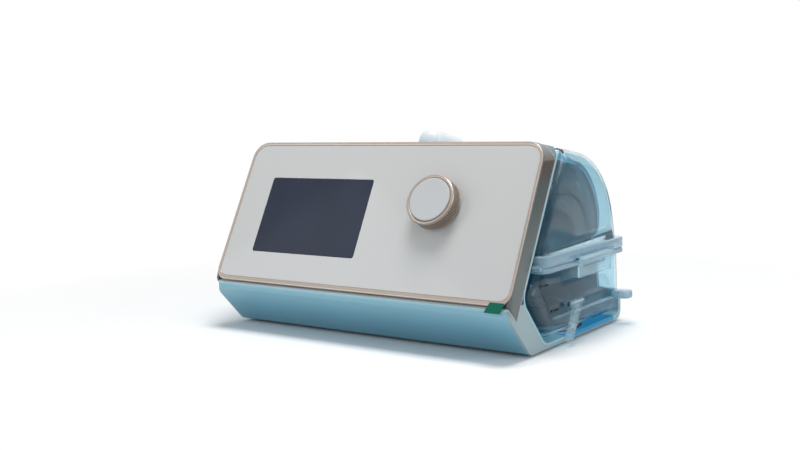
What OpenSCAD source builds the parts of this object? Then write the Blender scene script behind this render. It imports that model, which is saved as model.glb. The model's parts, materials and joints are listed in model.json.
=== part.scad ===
// Bedside breathing-air machine: a wedge-shaped body with a sloping glossy front panel,
// a display, a push-and-turn knob, a blower in a lined box, and a clear water chamber
// that slides out of a bay in the right-hand end.
//
// Every piece is drawn in one working frame: x = 0 at the middle of the front panel,
// y = 0 at the panel's lower edge and z = 0 at the underside of the base. place() then
// moves the origin to the middle of the footprint, at the height the feet stand on.

/* [Body] */
// Width over the two end faces
body_w = 280; // [272:1:296]
// Height of the top front edge above the underside
body_h = 150.5; // [148:0.5:156]
// Depth from the panel's lower edge to the foot of the back
body_d = 187; // [185:1:196]
// Fall of the top towards the back, in degrees
top_fall = 11.3; // [10.6:0.1:11.8]
// Radius of the long rounded shoulder at the back
back_r = 54; // [46:1:56]
// Radius along the top side edges
edge_r = 14; // [11:0.5:16]
// Wall of the base and the top cover
wall = 2.4; // [2:0.1:2.6]
// Height of the base shell
base_h = 38.6; // [37:0.2:39.4]
// Distance from the panel's lower edge to the toe of the base
toe_y = 29; // [24:1:34]
// Reach of the base's front corner ahead of the panel's lower edge
lip_reach = 8.2; // [7:0.2:9]
// Radius that rounds the base's front lip
lip_r = 4; // [3:0.2:4.6]

/* [Front panel] */
// Backward tilt of the panel from upright, in degrees
panel_tilt = 27.6; // [26.8:0.1:28.2]
// Height of the panel's lower edge above the base
panel_lift = 4.3; // [4.1:0.1:4.8]
// Thickness of the white panel
panel_t = 2.5; // [2:0.1:3]
// Width of the metal-look trim at the sides
trim_side = 2.2; // [1.6:0.1:3]
// Width of the trim along the top
trim_top = 2.9; // [2:0.1:3.4]
// Width of the trim along the bottom
trim_foot = 3.9; // [3.4:0.1:4.4]
// Height by which the trim stands proud of the panel
trim_proud = 0.8; // [0.4:0.1:1.2]
// Backward lean of the frame's rear edge, in degrees
band_tilt = 29.1; // [28.6:0.1:29.6]
// Distance back from the panel's lower edge to the frame's lowest point
tip_y = 9.2; // [8.4:0.2:10]
// Height of the frame's lowest point
tip_z = 27.6; // [26:0.2:29]

/* [Display] */
// Width of the display window
window_w = 105.4; // [96:0.2:112]
// Height of the display window
window_h = 66; // [58:0.5:70]
// Distance from the panel's middle to the window's middle
window_x = -56.2; // [-60:0.2:-54]
// Height of the window's middle up the panel
window_y = 55.8; // [52:0.2:58]

/* [Knob] */
// Distance from the panel's middle to the knob
knob_x = 61.9; // [56:0.2:70]
// Height of the knob's centre up the panel
knob_y = 68.9; // [60:0.2:74]
// Outer radius of the knurled ring
knob_r = 20.1; // [17:0.1:22]
// Radius of the white cap
cap_r = 17.1; // [14:0.1:18]
// Height of the knob's face above the panel
knob_h = 13.3; // [11:0.1:16]
// Travel of the knob when it is pressed
press_travel = 0.6; // [0.3:0.05:0.8]
// Radius of the knob's shaft
shaft_r = 3; // [2.5:0.1:3.4]
// Number of flutes round the ring
knurl_count = 72; // [36:4:90]

/* [Water chamber] */
// Distance from the middle to the bay's inner end
bay_x = 41; // [36:1:46]
// Distance from the middle to the end of the roof over the bay
roof_x = 122; // [116:1:126]
// Height of the bay's furthest-forward corner
apex_z = 40.9; // [39:0.2:42]
// Thickness of the bay liner
liner_t = 1.6; // [1.2:0.1:1.8]
// Wall of the clear tub
tub_wall = 2.2; // [1.6:0.1:2.6]
// Wall of the clear lid
lid_wall = 2; // [1.6:0.1:2.4]
// Height of the underside of the joint flange
flange_z = 57.5; // [56.5:0.1:59]
// Height of the joint flange, lid and tub together
flange_h = 12.5; // [11:0.5:14]
// Reach of the flange past the body's end face
flange_reach = 8; // [6:0.2:10]
// Reach of the tub and the lid past the body's end face
tub_reach = 3; // [1:0.2:4]
// Radius round the lid's outer end
lid_r = 14; // [10:0.5:16]
// Radius of the shoulder at the back of the lid
lid_back_r = 68; // [60:1:70]
// Radius of the heater plate
heater_r = 41.5; // [34:0.5:44]

/* [Blower] */
// Radius of the impeller
impeller_r = 26; // [22:0.5:27]
// Number of impeller blades
blade_count = 9; // [5:1:12]
// Height of the blades
blade_h = 9; // [6:0.5:11]
// Radius of the motor can
motor_r = 17; // [14:0.5:20]
// Radius of the motor shaft
spindle_r = 2; // [1.5:0.1:2.5]

/* [Air outlet] */
// Distance from the middle to the outlet
outlet_x = -7.5; // [-14:0.5:-4]
// Distance of the outlet behind the blower's centre
outlet_back = 11; // [2:1:12]
// Outer radius of the hose port, the standard 22 mm cone size
port_r = 11; // [10.5:0.1:11.4]
// Bore radius of the hose port
port_bore_r = 9; // [7.5:0.1:9.4]
// Length of the hose port, from its stop collar to its end
port_len = 22; // [16:1:28]
// Length of the stop collar, from the elbow's bend
collar_len = 12; // [11.9:0.1:14]
// Height by which the stop collar stands proud of the port
collar_t = 0.8; // [0.4:0.1:1]

/* [Feet and fasteners] */
// Height of the rubber feet
foot_h = 2; // [1:0.1:3]
// Radius of the rubber feet
foot_r = 7; // [5:0.5:9]
// Radius of the case screws
screw_r = 1.5; // [1:0.1:1.8]

/* [Hidden] */

// Angle covered by one facet of a rounded corner
arc_step = 9;
// Seam between two fixed shells
seam = 0.15;
// Clearance round a turning or sliding shaft
run_fit = 0.05;
// Clearance of a piece held in a bore of its own body
seat_fit = 0.02;
// Clearance between the chamber and what it slides past
slide_gap = 1;
// Clearance under the chamber's metal base
dock_gap = 0.3;

half_w = body_w / 2;
tan_top = tan(top_fall);
tan_band = tan(band_tilt);
panel_w = body_w - 2 * trim_side;
panel_z = base_h + panel_lift;
panel_h = (body_h - panel_z) / cos(panel_tilt) - trim_top;

// ---- outlines in the side view, where points are [y, z] and corners are [y, z, radius] ----

// Depth of the panel's surface at a height
function plane_y(z) = (z - panel_z) * tan(panel_tilt);
// Depth of the frame's rear edge at a height
function band_y(z) = tip_y + (z - tip_z) * tan_band;
brow_y = plane_y(body_h);
// Height of the top surface at a depth
function top_z(y) = body_h - (y - brow_y) * tan_top;
// Height at which a line parallel to the rear edge of the frame, dy behind it, meets a line
// dz below the top
function meet_z(dy, dz) =
    (body_h - dz - (tip_y + dy - tip_z * tan_band - brow_y) * tan_top) / (1 + tan_band * tan_top);

function yz(c) = [c[0], c[1]];
function unit(v) = v / norm(v);
function left_of(v) = [-v[1], v[0]];

// Corners of a closed anticlockwise outline moved inward by d
function inward(c, d) = let (n = len(c)) [for (i = [0 : n - 1]) let (
    p = yz(c[i]),
    u = unit(p - yz(c[(i + n - 1) % n])),
    v = unit(yz(c[(i + 1) % n]) - p),
    turn = cross(u, v),
    m = left_of(u) + left_of(v),
    q = p + d * m / (1 + left_of(u) * left_of(v)))
    [q[0], q[1], c[i][2] <= 0 ? 0 : max(c[i][2] - sign(turn) * d, 0.4)]];

// Points of one rounded corner between the points before and after it
function corner(a, p, b, r) = let (
    ua = unit(a - p),
    ub = unit(b - p),
    open = acos(max(-1, min(1, ua * ub))),
    centre = p + unit(ua + ub) * r / sin(open / 2),
    start = p + ua * r / tan(open / 2) - centre,
    way = cross(p - a, b - p) > 0 ? 1 : -1,
    steps = max(2, ceil((180 - open) / arc_step)),
    first = atan2(start[1], start[0]))
    [for (k = [0 : steps]) let (t = first + way * (180 - open) * k / steps)
        centre + r * [cos(t), sin(t)]];

// A closed outline with its corners rounded
function rounded(c) = let (n = len(c)) [for (i = [0 : n - 1])
    each c[i][2] > 0.01
        ? corner(yz(c[(i + n - 1) % n]), yz(c[i]), yz(c[(i + 1) % n]), c[i][2])
        : [yz(c[i])]];

// Corners of a rectangle, with one radius for the lower pair and one for the upper
function box_corners(x0, y0, x1, y1, r_low, r_high) =
    [[x0, y0, r_low], [x1, y0, r_low], [x1, y1, r_high], [x0, y1, r_high]];

// Body outline: the front plane, the foot, the back, the long shoulder and the top
back_y = body_d - 6;
back_top = top_z(back_y);
function back_line(z) = body_d + (back_y - body_d) * z / back_top;
heel_r = 8;
hump = [[plane_y(0), 0, 0], [body_d, 0, heel_r], [back_y, back_top, back_r],
    [brow_y, body_h, 0.5]];
// Base outline: the toe, the heel, the seam height at the back and the front lip
base_outline = [[toe_y, 0, heel_r], [body_d, 0, heel_r], [back_line(base_h), base_h, 0],
    [-lip_reach, base_h, lip_r]];
lip_front = -lip_reach + lip_r / tan(atan2(base_h, toe_y + lip_reach) / 2) - lip_r;

// Bay outline, its inner surface
liner_inset = wall + 0.2 + liner_t;
floor_z = wall + liner_t;
bay_step = seam + liner_t / cos(band_tilt);
bay_top = meet_z(bay_step, liner_inset / cos(top_fall));
inner_hump = inward(hump, liner_inset);
apex = [band_y(apex_z) + bay_step, apex_z];
slope_run = 0.888;
bay = [[apex[0] + (apex_z - floor_z) * slope_run, floor_z, 14],
    [back_line(floor_z) - liner_inset, floor_z, 5],
    inner_hump[2],
    [band_y(bay_top) + bay_step, bay_top, 6],
    [apex[0], apex[1], 12]];
// Height of the rear post of the bay, just below the chamber's flange
post_z = flange_z - 1.5;

// ---- chamber ----
chamber_x = bay_x + 4;
end_x = half_w + tub_reach;
flange_x = half_w + flange_reach;
flange_top = flange_z + flange_h;
flange_split = flange_z + 0.33 * flange_h;
seal_t = 0.6;
flange_y0 = band_y(flange_top) + bay_step + 1.6;
flange_y1 = back_line(flange_top) - liner_inset - 1.4;
flange_in_x = chamber_x - 2;
rim_in = 5;
tub_gap = 4.2;
tub_low = inward(bay, tub_gap);
tub_z = tub_low[0][1];
tub_back = back_line(flange_z) - liner_inset - 4;
tub_lean = (flange_y0 + 1.5 - tub_low[4][0]) / (flange_z - tub_low[4][1]);
function tub_front(z) = tub_low[4][0] + (z - tub_low[4][1]) * tub_lean;
function tub_outline(z) = [tub_low[0], tub_low[1], [tub_back, z, 0], [tub_front(z), z, 0],
    tub_low[4]];
lid_step = bay_step + slide_gap / cos(band_tilt);
lid_top = meet_z(lid_step, 0);
lid_back = back_line(flange_top) - 10.5;
lid_outline = [[band_y(flange_z) + lid_step, flange_z, 0], [lid_back + 2, flange_z, 0],
    [lid_back, top_z(lid_back), lid_back_r], [band_y(lid_top) + lid_step, lid_top, 5]];
lid_drop = liner_inset + slide_gap;
cap_gap = 0.5;

// ---- heater under the chamber ----
heater_c = [(chamber_x + half_w) / 2, 112];
heater_top = tub_z - dock_gap;
insulator_top = floor_z + 0.6;

// ---- boards behind the panel ----
lcd_t = 3.5;
board_n = -12;
board_t = 1.6;
encoder_back = board_n + board_t;
encoder_front = -panel_t - 2;
plunger_n = encoder_back + 2.2;
plunger_t = 1;
ring_gap = 1.1;
web_n = 3.6;
web_t = 2;

// ---- blower and its lined box ----
box_lo = [-half_w + 15, 66];
box_hi = [bay_x - 66, body_d - 17];
box_wall = 2;
box_top = 74;
foam_t = 7;
blower_c = [(box_lo[0] + box_hi[0]) / 2, (box_lo[1] + box_hi[1]) / 2];
mount_z = wall + box_wall + foam_t;
case_z = mount_z + 4.6;
case_wall = 1.8;
scroll_z = case_z + case_wall;
wheel_z = scroll_z + 2;
scroll_top = wheel_z + blade_h + 5.5;
lid_plate = 2.4;
motor_z = scroll_top + lid_plate;
motor_h = 22;
bearing_r = 5;
bearing_t = 3;
duct_r = 9.5;
duct_bore = 8;
scroll_reach = box_hi[0] - box_wall - foam_t - blower_c[0];
tongue_r = impeller_r + 2;
scroll_grow = 8;
outlet_arm_y = blower_c[1] - (tongue_r + scroll_grow) + duct_bore;
outlet_arm_z = scroll_z + duct_bore + 0.4;
duct_x = 5;
inlet_port = [outlet_arm_y, body_h - 52.5];

// ---- outlet ----
outlet_y = blower_c[1] + outlet_back;
socket_r = port_r + 2.4;
collar_r = port_r + collar_t;
arm_z = collar_r + 0.8;
duct_drop = 36;
outlet_corner = [outlet_x, outlet_y - duct_drop * sin(top_fall),
    top_z(outlet_y) - duct_drop * cos(top_fall)];
outlet_duct_r = 10.5;
outlet_duct_bore = 9;
// Extra radius of a tube at its bends
bend_swell = 0.4;

// ---- air filter at the back ----
filter_lo = [blower_c[0] - 24, 46];
filter_hi = [blower_c[0] + 24, 70];
filter_wall = 1.6;
filter_end = back_line(filter_hi[1]) - wall - 0.5;

// ---- power inlet ----
jack_c = [14, 15.6];
jack_size = [14, 14, 11];
power_board_z = 8.5;

// ---- screws and feet ----
screw_spots = [[-half_w + 6.5, 62], [-half_w + 6.5, body_d - 30], [-12, body_d - 9.5],
    [bay_x - 11, body_d - 9.5]];
boss_r = 4.5;
foot_spots = [for (x = [-half_w + 25, half_w - 25], y = [toe_y + 20, body_d - 20]) [x, y]];

// ---- clip and lever on the chamber ----
clip_y = [87, 144];
clip_axis = [flange_x + 2.1, flange_split + 0.4];
clip_barrel = 1.9;
clip_pin_r = 1;
clip_low = flange_z - 9.5;
lever_y = [80, 95];
lever_axis = [end_x + 4.2, 30];
lever_barrel = 2.2;
hinge_axis = [flange_y0 - 2.3, flange_split];
hinge_r = 2.1;
knuckle_x = [end_x - 17, end_x - 12, end_x - 2, end_x + 3];
grip_reach = 13;

// ---- frame of the whole part ----
tab_low = -9;
front_y = tab_low * sin(panel_tilt) - (trim_proud + 0.3) * cos(panel_tilt);
mid = [(end_x + grip_reach - half_w) / 2, (front_y + body_d) / 2];

module place() translate([-mid[0], -mid[1], foot_h]) children();
module on_panel() translate([0, 0, panel_z]) rotate([90 - panel_tilt, 0, 0]) children();
module on_outlet() translate([outlet_x, outlet_y, top_z(outlet_y)]) rotate([-top_fall, 0, 0])
    children();
// Side-view outline carried along x
module along_x(x0, x1) translate([x0, 0, 0]) rotate([90, 0, 90]) linear_extrude(x1 - x0)
    children();
// Front-view outline carried along y
module along_y(y0, y1) translate([0, y1, 0]) rotate([90, 0, 0]) linear_extrude(y1 - y0)
    children();
module side(corners) polygon(rounded(corners));
module rod_x(x0, x1, y, z, r) translate([x0, y, z]) rotate([0, 90, 0])
    cylinder(h = x1 - x0, r = r, $fn = 48);
module rod_y(y0, y1, x, z, r) translate([x, y0, z]) rotate([-90, 0, 0])
    cylinder(h = y1 - y0, r = r, $fn = 48);
module rod_z(z0, z1, x, y, r) translate([x, y, z0]) cylinder(h = z1 - z0, r = r, $fn = 48);
module block(lo, hi) translate(lo) cube(hi - lo);

// The whole humped body, inset by d, with rounded top side edges
module body_solid(d, x0, x1) intersection() {
    along_x(x0, x1) side(inward(hump, d));
    along_y(-20, body_d + 20) polygon(rounded(
        box_corners(-half_w + d, -20, half_w - d, body_h - d, 0, max(edge_r - d, 1))));
}

// Rounded front corners of the body seen from above
module plan_corners(d) linear_extrude(body_h + 40) polygon(rounded(
    box_corners(-half_w + d, lip_front + d, half_w - d, body_d + 10, max(8 - d, 1), 1)));

// Everything behind the frame's rear edge
module behind_band(shift, z0) along_x(-half_w - 5, half_w + 20) polygon([
    [band_y(z0) + shift, z0], [body_d + 20, z0], [body_d + 20, body_h + 20],
    [band_y(body_h + 20) + shift, body_h + 20]]);

// What is cut away past the end of the roof, above the rear post
module past_roof(shift) along_x(roof_x, half_w + 20) polygon([
    [band_y(post_z) + shift, post_z], [body_d + 20, post_z], [body_d + 20, body_h + 20],
    [band_y(body_h + 20) + shift, body_h + 20]]);

// Side plate of the frame: between the panel and the rear edge, down to the tip
function plate_outline(grow) = [[tip_y + grow, tip_z - grow], [band_y(body_h + 20) + grow, body_h + 20],
    [plane_y(body_h + 20) - grow, body_h + 20], [plane_y(base_h + 2) + 1.1 - grow, base_h + 2],
    [plane_y(base_h) + 1.1 - grow, base_h - grow]];

module base_shell() color("lightskyblue") place() difference() {
    union() {
        difference() {
            intersection() {
                along_x(-half_w, half_w) side(base_outline);
                plan_corners(0);
            }
            intersection() {
                along_x(-half_w + wall, half_w - wall) side(inward(base_outline, wall));
                translate([0, 0, -1]) plan_corners(wall);
            }
            // open top, behind the ledge under the panel
            block([-half_w + wall, 5, base_h - wall - 1],
                [half_w - wall, back_line(base_h) - wall, base_h + 1]);
        }
        for (s = screw_spots) rod_z(0.5, base_h - seam, s[0], s[1], boss_r);
        for (x = [-10, 26], y = [body_d - 48, body_d - 22]) rod_z(1, power_board_z, x, y, 3);
    }
    // bay mouth in the right-hand end
    along_x(half_w - wall - 1, half_w + 1) side(inward(bay, -liner_t - 0.1));
    // notches for the frame's side plates
    for (x = [-half_w - 1, half_w - trim_side - seam])
        along_x(x, x + trim_side + seam + 1) polygon(plate_outline(seam));
    for (s = screw_spots) {
        rod_z(-1, base_h + 1, s[0], s[1], screw_r + 0.2);
        rod_z(-1, 6, s[0], s[1], 2 * screw_r + 0.3);
    }
    // window for the power inlet
    block([jack_c[0] - jack_size[0] / 2 - 0.2, body_d - 12, power_board_z + board_t - 0.2],
        [jack_c[0] + jack_size[0] / 2 + 0.2, body_d + 5, power_board_z + board_t + jack_size[2] + 0.2]);
    // cooling slots under the blower
    for (i = [0 : 5]) block([blower_c[0] - 16 + 12 * i, 40, -1], [blower_c[0] - 12 + 12 * i, 58, wall + 1]);
}

module top_cover() color("lightskyblue") place() difference() {
    union() {
        difference() {
            intersection() {
                body_solid(0, -half_w, half_w);
                behind_band(seam, base_h + seam);
            }
            body_solid(wall, -half_w + wall, half_w + 5);
            past_roof(0);
            // the right-hand end is open beside the rear post too
            intersection() {
                along_x(half_w - edge_r - 1, half_w + 5) side(inward(hump, wall));
                block([0, -20, -5], [half_w + 5, body_d, post_z]);
            }
        }
        // screw bosses, each with a rib towards the back
        for (s = screw_spots) intersection() {
            union() {
                rod_z(base_h + seam, base_h + 22, s[0], s[1], boss_r);
                block([s[0] - 1.5, s[1], base_h + seam], [s[0] + 1.5, s[1] + 2 * boss_r, base_h + 22]);
            }
            body_solid(1, -half_w + 1, half_w);
        }
    }
    on_outlet() cylinder(h = 40, r = socket_r + seam, center = true, $fn = 64);
    for (s = screw_spots) rod_z(base_h - 1, base_h + 14, s[0], s[1], screw_r + run_fit);
    block([filter_lo[0], body_d - 12, filter_lo[1]], [filter_hi[0], body_d + 5, filter_hi[1]]);
}

module bay_liner() color("lightsteelblue") place() difference() {
    along_x(bay_x - liner_t, half_w) side(inward(bay, -liner_t));
    along_x(bay_x, half_w + 1) side(bay);
    past_roof(bay_step + 0.05);
    rod_z(0, floor_z + 1, heater_c[0], heater_c[1], heater_r + 1.7);
    rod_x(bay_x - 5, bay_x + 1, inlet_port[0], inlet_port[1], duct_bore);
    rod_x(bay_x - 5, bay_x + 1, outlet_corner[1], outlet_corner[2], outlet_duct_bore);
}

module front_frame() color("tan") place() difference() {
    union() {
        // trim ring, with a rabbet that the white panel drops into
        on_panel() translate([0, 0, -panel_t - 1.7]) linear_extrude(panel_t + 1.7 + trim_proud)
            polygon(rounded([[-half_w, -trim_foot, 10], [half_w, -trim_foot, 10],
                [half_w, panel_h + trim_top, edge_r], [-half_w, panel_h + trim_top, edge_r]]));
        // skirt along the sides and the top
        intersection() {
            body_solid(0, -half_w, half_w);
            along_x(-half_w, half_w) polygon(plate_outline(0));
            plan_corners(0);
        }
    }
    on_panel() translate([0, 0, -panel_t - seam / 3]) linear_extrude(panel_t + 5)
        polygon(rounded(panel_corners(-0.1)));
    on_panel() translate([0, 0, -panel_t - 3]) linear_extrude(panel_t + 5)
        polygon(rounded(panel_corners(2)));
    intersection() {
        on_panel() translate([-half_w, -60, -90]) cube([body_w, 260, 90 - panel_t - 1.7]);
        along_x(-half_w + trim_side, half_w - trim_side) side(inward(hump, trim_top));
        along_y(-20, body_d) polygon(rounded(box_corners(-half_w + trim_side, -20,
            half_w - trim_side, body_h - trim_top, 0, edge_r - trim_side)));
    }
    // nothing of the ring reaches below the base's ledge
    block([-half_w + trim_side, -20, 0], [half_w - trim_side, 30, base_h + seam]);
    difference() {
        block([-half_w - 1, -20, 0], [half_w + 1, 30, base_h + seam]);
        along_x(-half_w - 2, half_w + 2) polygon(plate_outline(0));
    }
}

// Corners of the white panel in its own plane, inset by d
function panel_corners(d) = [[-panel_w / 2 + d, d, 8 - d], [panel_w / 2 - d, d, 8 - d],
    [panel_w / 2 - d, panel_h - d, edge_r - trim_side - d],
    [-panel_w / 2 + d, panel_h - d, edge_r - trim_side - d]];

module window(grow, r) translate([window_x, window_y]) polygon(rounded(
    box_corners(-window_w / 2 - grow, -window_h / 2 - grow, window_w / 2 + grow,
        window_h / 2 + grow, r, r)));

board_lo = [window_x - window_w / 2 - 3, 10];
board_hi = [knob_x + 20, panel_h - 16.5];
board_posts = [for (x = [board_lo[0] + 4, board_hi[0] - 4], y = [board_lo[1] + 4, board_hi[1] - 4])
    [x, y]];

module fascia() color("white") place() on_panel() difference() {
    union() {
        translate([0, 0, -panel_t]) linear_extrude(panel_t) polygon(rounded(panel_corners(0)));
        for (p = board_posts) translate([p[0], p[1], board_n + board_t])
            cylinder(h = -board_n - board_t - 1, r = 2.5, $fn = 32);
    }
    translate([0, 0, -panel_t - 1]) linear_extrude(panel_t + 2) window(0, 2);
    translate([knob_x, knob_y, -10]) cylinder(h = 20, r = shaft_r + 1.7, $fn = 48);
}

module display_lens() color("darkslategray") place() on_panel() translate([0, 0, -panel_t])
    linear_extrude(panel_t - 0.05) window(-0.1, 1.9);

module lcd_module() color("dimgray") place() on_panel() {
    translate([0, 0, -panel_t - lcd_t]) linear_extrude(lcd_t) window(1.8, 1);
    // connector down to the board
    translate([window_x - 12, window_y - 4, encoder_back])
        cube([24, 8, -panel_t - lcd_t - encoder_back]);
}

module main_board() color("seagreen") place() on_panel() {
    translate([board_lo[0], board_lo[1], board_n])
        cube([board_hi[0] - board_lo[0], board_hi[1] - board_lo[1], board_t]);
    for (i = [0 : 2]) translate([10 + 11 * i, 20, board_n + board_t]) cube([8, 8, 2]);
}

module encoder_body() color("gray") place() on_panel() translate([knob_x, knob_y, 0])
    difference() {
        translate([-6.5, -6.5, encoder_back]) cube([13, 13, encoder_front - encoder_back]);
        translate([0, 0, encoder_back + 0.8])
            cylinder(h = encoder_front - encoder_back - 1.8, r = 5, $fn = 48);
        translate([0, 0, encoder_front - 2]) cylinder(h = 4, r = shaft_r + run_fit, $fn = 48);
    }

module encoder_bushing() color("silver") place() on_panel() translate([knob_x, knob_y, 0])
    difference() {
        translate([0, 0, encoder_front]) cylinder(h = 2.2 - encoder_front, r = shaft_r + 1.5, $fn = 48);
        translate([0, 0, -20]) cylinder(h = 40, r = shaft_r + run_fit, $fn = 48);
    }

module encoder_nut() color("silver") place() on_panel() translate([knob_x, knob_y, 0])
    difference() {
        cylinder(h = 1.8, r = shaft_r + 3.9, $fn = 6);
        translate([0, 0, -1]) cylinder(h = 4, r = shaft_r + 1.5 + seat_fit, $fn = 48);
    }

module switch_dome() color("gold") place() on_panel() translate([knob_x, knob_y, encoder_back + 0.8])
    cylinder(h = plunger_n - press_travel - 0.2 - encoder_back - 0.8, r1 = 4, r2 = 2, $fn = 32);

module encoder_plunger() color("white") place() on_panel() translate([knob_x, knob_y, plunger_n])
    cylinder(h = plunger_t, r = 4.4, $fn = 48);

module knob_shaft() color("silver") place() on_panel() translate([knob_x, knob_y, plunger_n + plunger_t])
    cylinder(h = knob_h - 4.5 - plunger_n - plunger_t, r = shaft_r, $fn = 48);

module knob_ring() color("rosybrown") place() on_panel() translate([knob_x, knob_y, 0])
    difference() {
        translate([0, 0, ring_gap]) cylinder(h = knob_h - 0.6 - ring_gap, r = knob_r, $fn = 96);
        translate([0, 0, ring_gap - 1]) cylinder(h = web_n - ring_gap + 1, r = cap_r, $fn = 96);
        translate([0, 0, web_n + web_t]) cylinder(h = knob_h, r = cap_r + 0.1, $fn = 96);
        cylinder(h = knob_h, r = shaft_r + seat_fit, $fn = 48);
        // flutes round the rim
        for (i = [0 : knurl_count - 1]) rotate([0, 0, 360 * i / knurl_count])
            translate([knob_r + 0.15, 0, ring_gap + 1.2])
            cylinder(h = knob_h - 3.6 - ring_gap, r = 0.45, $fn = 6);
    }

module knob_cap() color("whitesmoke") place() on_panel() translate([knob_x, knob_y, 0])
    difference() {
        union() {
            translate([0, 0, knob_h - 3]) cylinder(h = 3, r = cap_r, $fn = 96);
            translate([0, 0, web_n + web_t]) cylinder(h = knob_h - 3 - web_n - web_t, r = 6, $fn = 48);
        }
        translate([0, 0, web_n]) cylinder(h = knob_h - 4.5 - web_n, r = shaft_r + seat_fit, $fn = 48);
    }

module muffler_box() color("gainsboro") place() difference() {
    block([box_lo[0], box_lo[1], wall], [box_hi[0], box_hi[1], box_top]);
    block([box_lo[0] + box_wall, box_lo[1] + box_wall, wall + box_wall],
        [box_hi[0] - box_wall, box_hi[1] - box_wall, box_top + 1]);
    rod_x(box_hi[0] - 5, box_hi[0] + 5, outlet_arm_y, outlet_arm_z, duct_r + 0.2);
    block([filter_lo[0] + 4, box_hi[1] - 5, filter_lo[1] + 3], [filter_hi[0] - 4, box_hi[1] + 5, filter_hi[1] - 3]);
}

module muffler_lid() color("gainsboro") place() {
    block([box_lo[0], box_lo[1], box_top], [box_hi[0], box_hi[1], box_top + box_wall]);
    for (i = [1 : 4]) block([box_lo[0] + 20 * i - 0.8, box_lo[1] + 6, box_top + box_wall],
        [box_lo[0] + 20 * i + 0.8, box_hi[1] - 6, box_top + box_wall + 3]);
}

module acoustic_foam() color("darkgray") place() difference() {
    block([box_lo[0] + box_wall, box_lo[1] + box_wall, wall + box_wall],
        [box_hi[0] - box_wall, box_hi[1] - box_wall, box_top]);
    block([box_lo[0] + box_wall + foam_t, box_lo[1] + box_wall + foam_t, mount_z],
        [box_hi[0] - box_wall - foam_t, box_hi[1] - box_wall - foam_t, box_top + 1]);
    translate([blower_c[0], blower_c[1], mount_z]) linear_extrude(box_top)
        scroll_shape(case_wall + 0.4, scroll_reach - 0.1);
    rod_x(box_hi[0] - 15, box_hi[0] + 5, outlet_arm_y, outlet_arm_z, duct_r + 0.2);
    block([filter_lo[0] + 4, box_hi[1] - 15, filter_lo[1] + 3], [filter_hi[0] - 4, box_hi[1] + 5, filter_hi[1] - 3]);
}

module blower_mounts() color("black") place() for (i = [0 : 2])
    translate([blower_c[0] + 24 * cos(30 + 120 * i), blower_c[1] + 24 * sin(30 + 120 * i), mount_z]) {
        cylinder(h = case_z - mount_z, r = 5, $fn = 32);
    }

// Scroll outline: the radius grows steadily from the tongue round to the outlet
function scroll(extra) = [for (a = [0 : 10 : 360])
    (tongue_r + extra + scroll_grow * a / 360) * [cos(a - 90), sin(a - 90)]];

module scroll_shape(extra, reach) {
    polygon(scroll(extra));
    polygon([[-1, -(tongue_r + scroll_grow) - extra], [reach, -(tongue_r + scroll_grow) - extra],
        [reach, -(tongue_r + scroll_grow) + 2 * duct_bore + extra],
        [-1, -(tongue_r + scroll_grow) + 2 * duct_bore + extra]]);
}

module blower_lower_case() color("dimgray") place() translate([blower_c[0], blower_c[1], case_z])
    difference() {
        linear_extrude(scroll_top - case_z) scroll_shape(case_wall, scroll_reach - 0.3);
        translate([0, 0, case_wall]) linear_extrude(scroll_top) scroll_shape(0, scroll_reach + 1);
        translate([0, 0, -1]) cylinder(h = 5, r = impeller_r * 0.42, $fn = 48);
    }

module blower_upper_case() color("dimgray") place() translate([blower_c[0], blower_c[1], scroll_top])
    difference() {
        linear_extrude(lid_plate) scroll_shape(case_wall, scroll_reach - 0.3);
        translate([0, 0, -1]) cylinder(h = 5, r = spindle_r + 1.5, $fn = 48);
    }

module blower_motor() color("silver") place() translate([blower_c[0], blower_c[1], motor_z])
    difference() {
        cylinder(h = motor_h, r = motor_r, $fn = 64);
        translate([0, 0, -1]) cylinder(h = bearing_t + 1.1, r = bearing_r + seat_fit, $fn = 48);
        translate([0, 0, bearing_t]) cylinder(h = motor_h - 2 * bearing_t - 3, r = motor_r - 6, $fn = 48);
        translate([0, 0, motor_h - bearing_t - 3.1]) cylinder(h = bearing_t + 0.1, r = bearing_r + seat_fit, $fn = 48);
        translate([0, 0, motor_h - 4]) cylinder(h = 5, r = spindle_r + 0.6, $fn = 48);
    }

module motor_bearings() color("lightgray") place() for (z = [0.02, motor_h - bearing_t - 3.02])
    translate([blower_c[0], blower_c[1], motor_z + z]) difference() {
        cylinder(h = bearing_t - 0.04, r = bearing_r, $fn = 48);
        translate([0, 0, -1]) cylinder(h = bearing_t + 2, r = spindle_r + run_fit, $fn = 48);
    }

module rotor_shaft() color("silver") place()
    rod_z(wheel_z, motor_z + motor_h - 1, blower_c[0], blower_c[1], spindle_r);

module rotor_magnet() color("black") place() difference() {
    rod_z(motor_z + bearing_t + 1, motor_z + motor_h - bearing_t - 4, blower_c[0], blower_c[1], motor_r - 9);
    rod_z(motor_z, motor_z + motor_h, blower_c[0], blower_c[1], spindle_r + seat_fit);
}

// One backward-curved blade, swept along an arc from the eye to the rim
function blade_edge(side) = [for (k = [0 : 8]) let (
    r = impeller_r * (0.4 + 0.59 * k / 8),
    a = -52 * k / 8)
    r * [cos(a), sin(a)] + side * 0.55 * [-sin(a - 40), cos(a - 40)]];

module impeller() color("white") place() translate([blower_c[0], blower_c[1], wheel_z])
    difference() {
        union() {
            translate([0, 0, blade_h]) cylinder(h = 1.4, r = impeller_r, $fn = 72);
            translate([0, 0, 1]) cylinder(h = blade_h, r = spindle_r + 3, $fn = 48);
            for (i = [0 : blade_count - 1]) rotate([0, 0, 360 * i / blade_count])
                linear_extrude(blade_h + 0.5) polygon(concat(blade_edge(1),
                    [for (k = [8 : -1 : 0]) blade_edge(-1)[k]]));
        }
        translate([0, 0, -1]) cylinder(h = 30, r = spindle_r + seat_fit, $fn = 48);
    }

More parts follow.
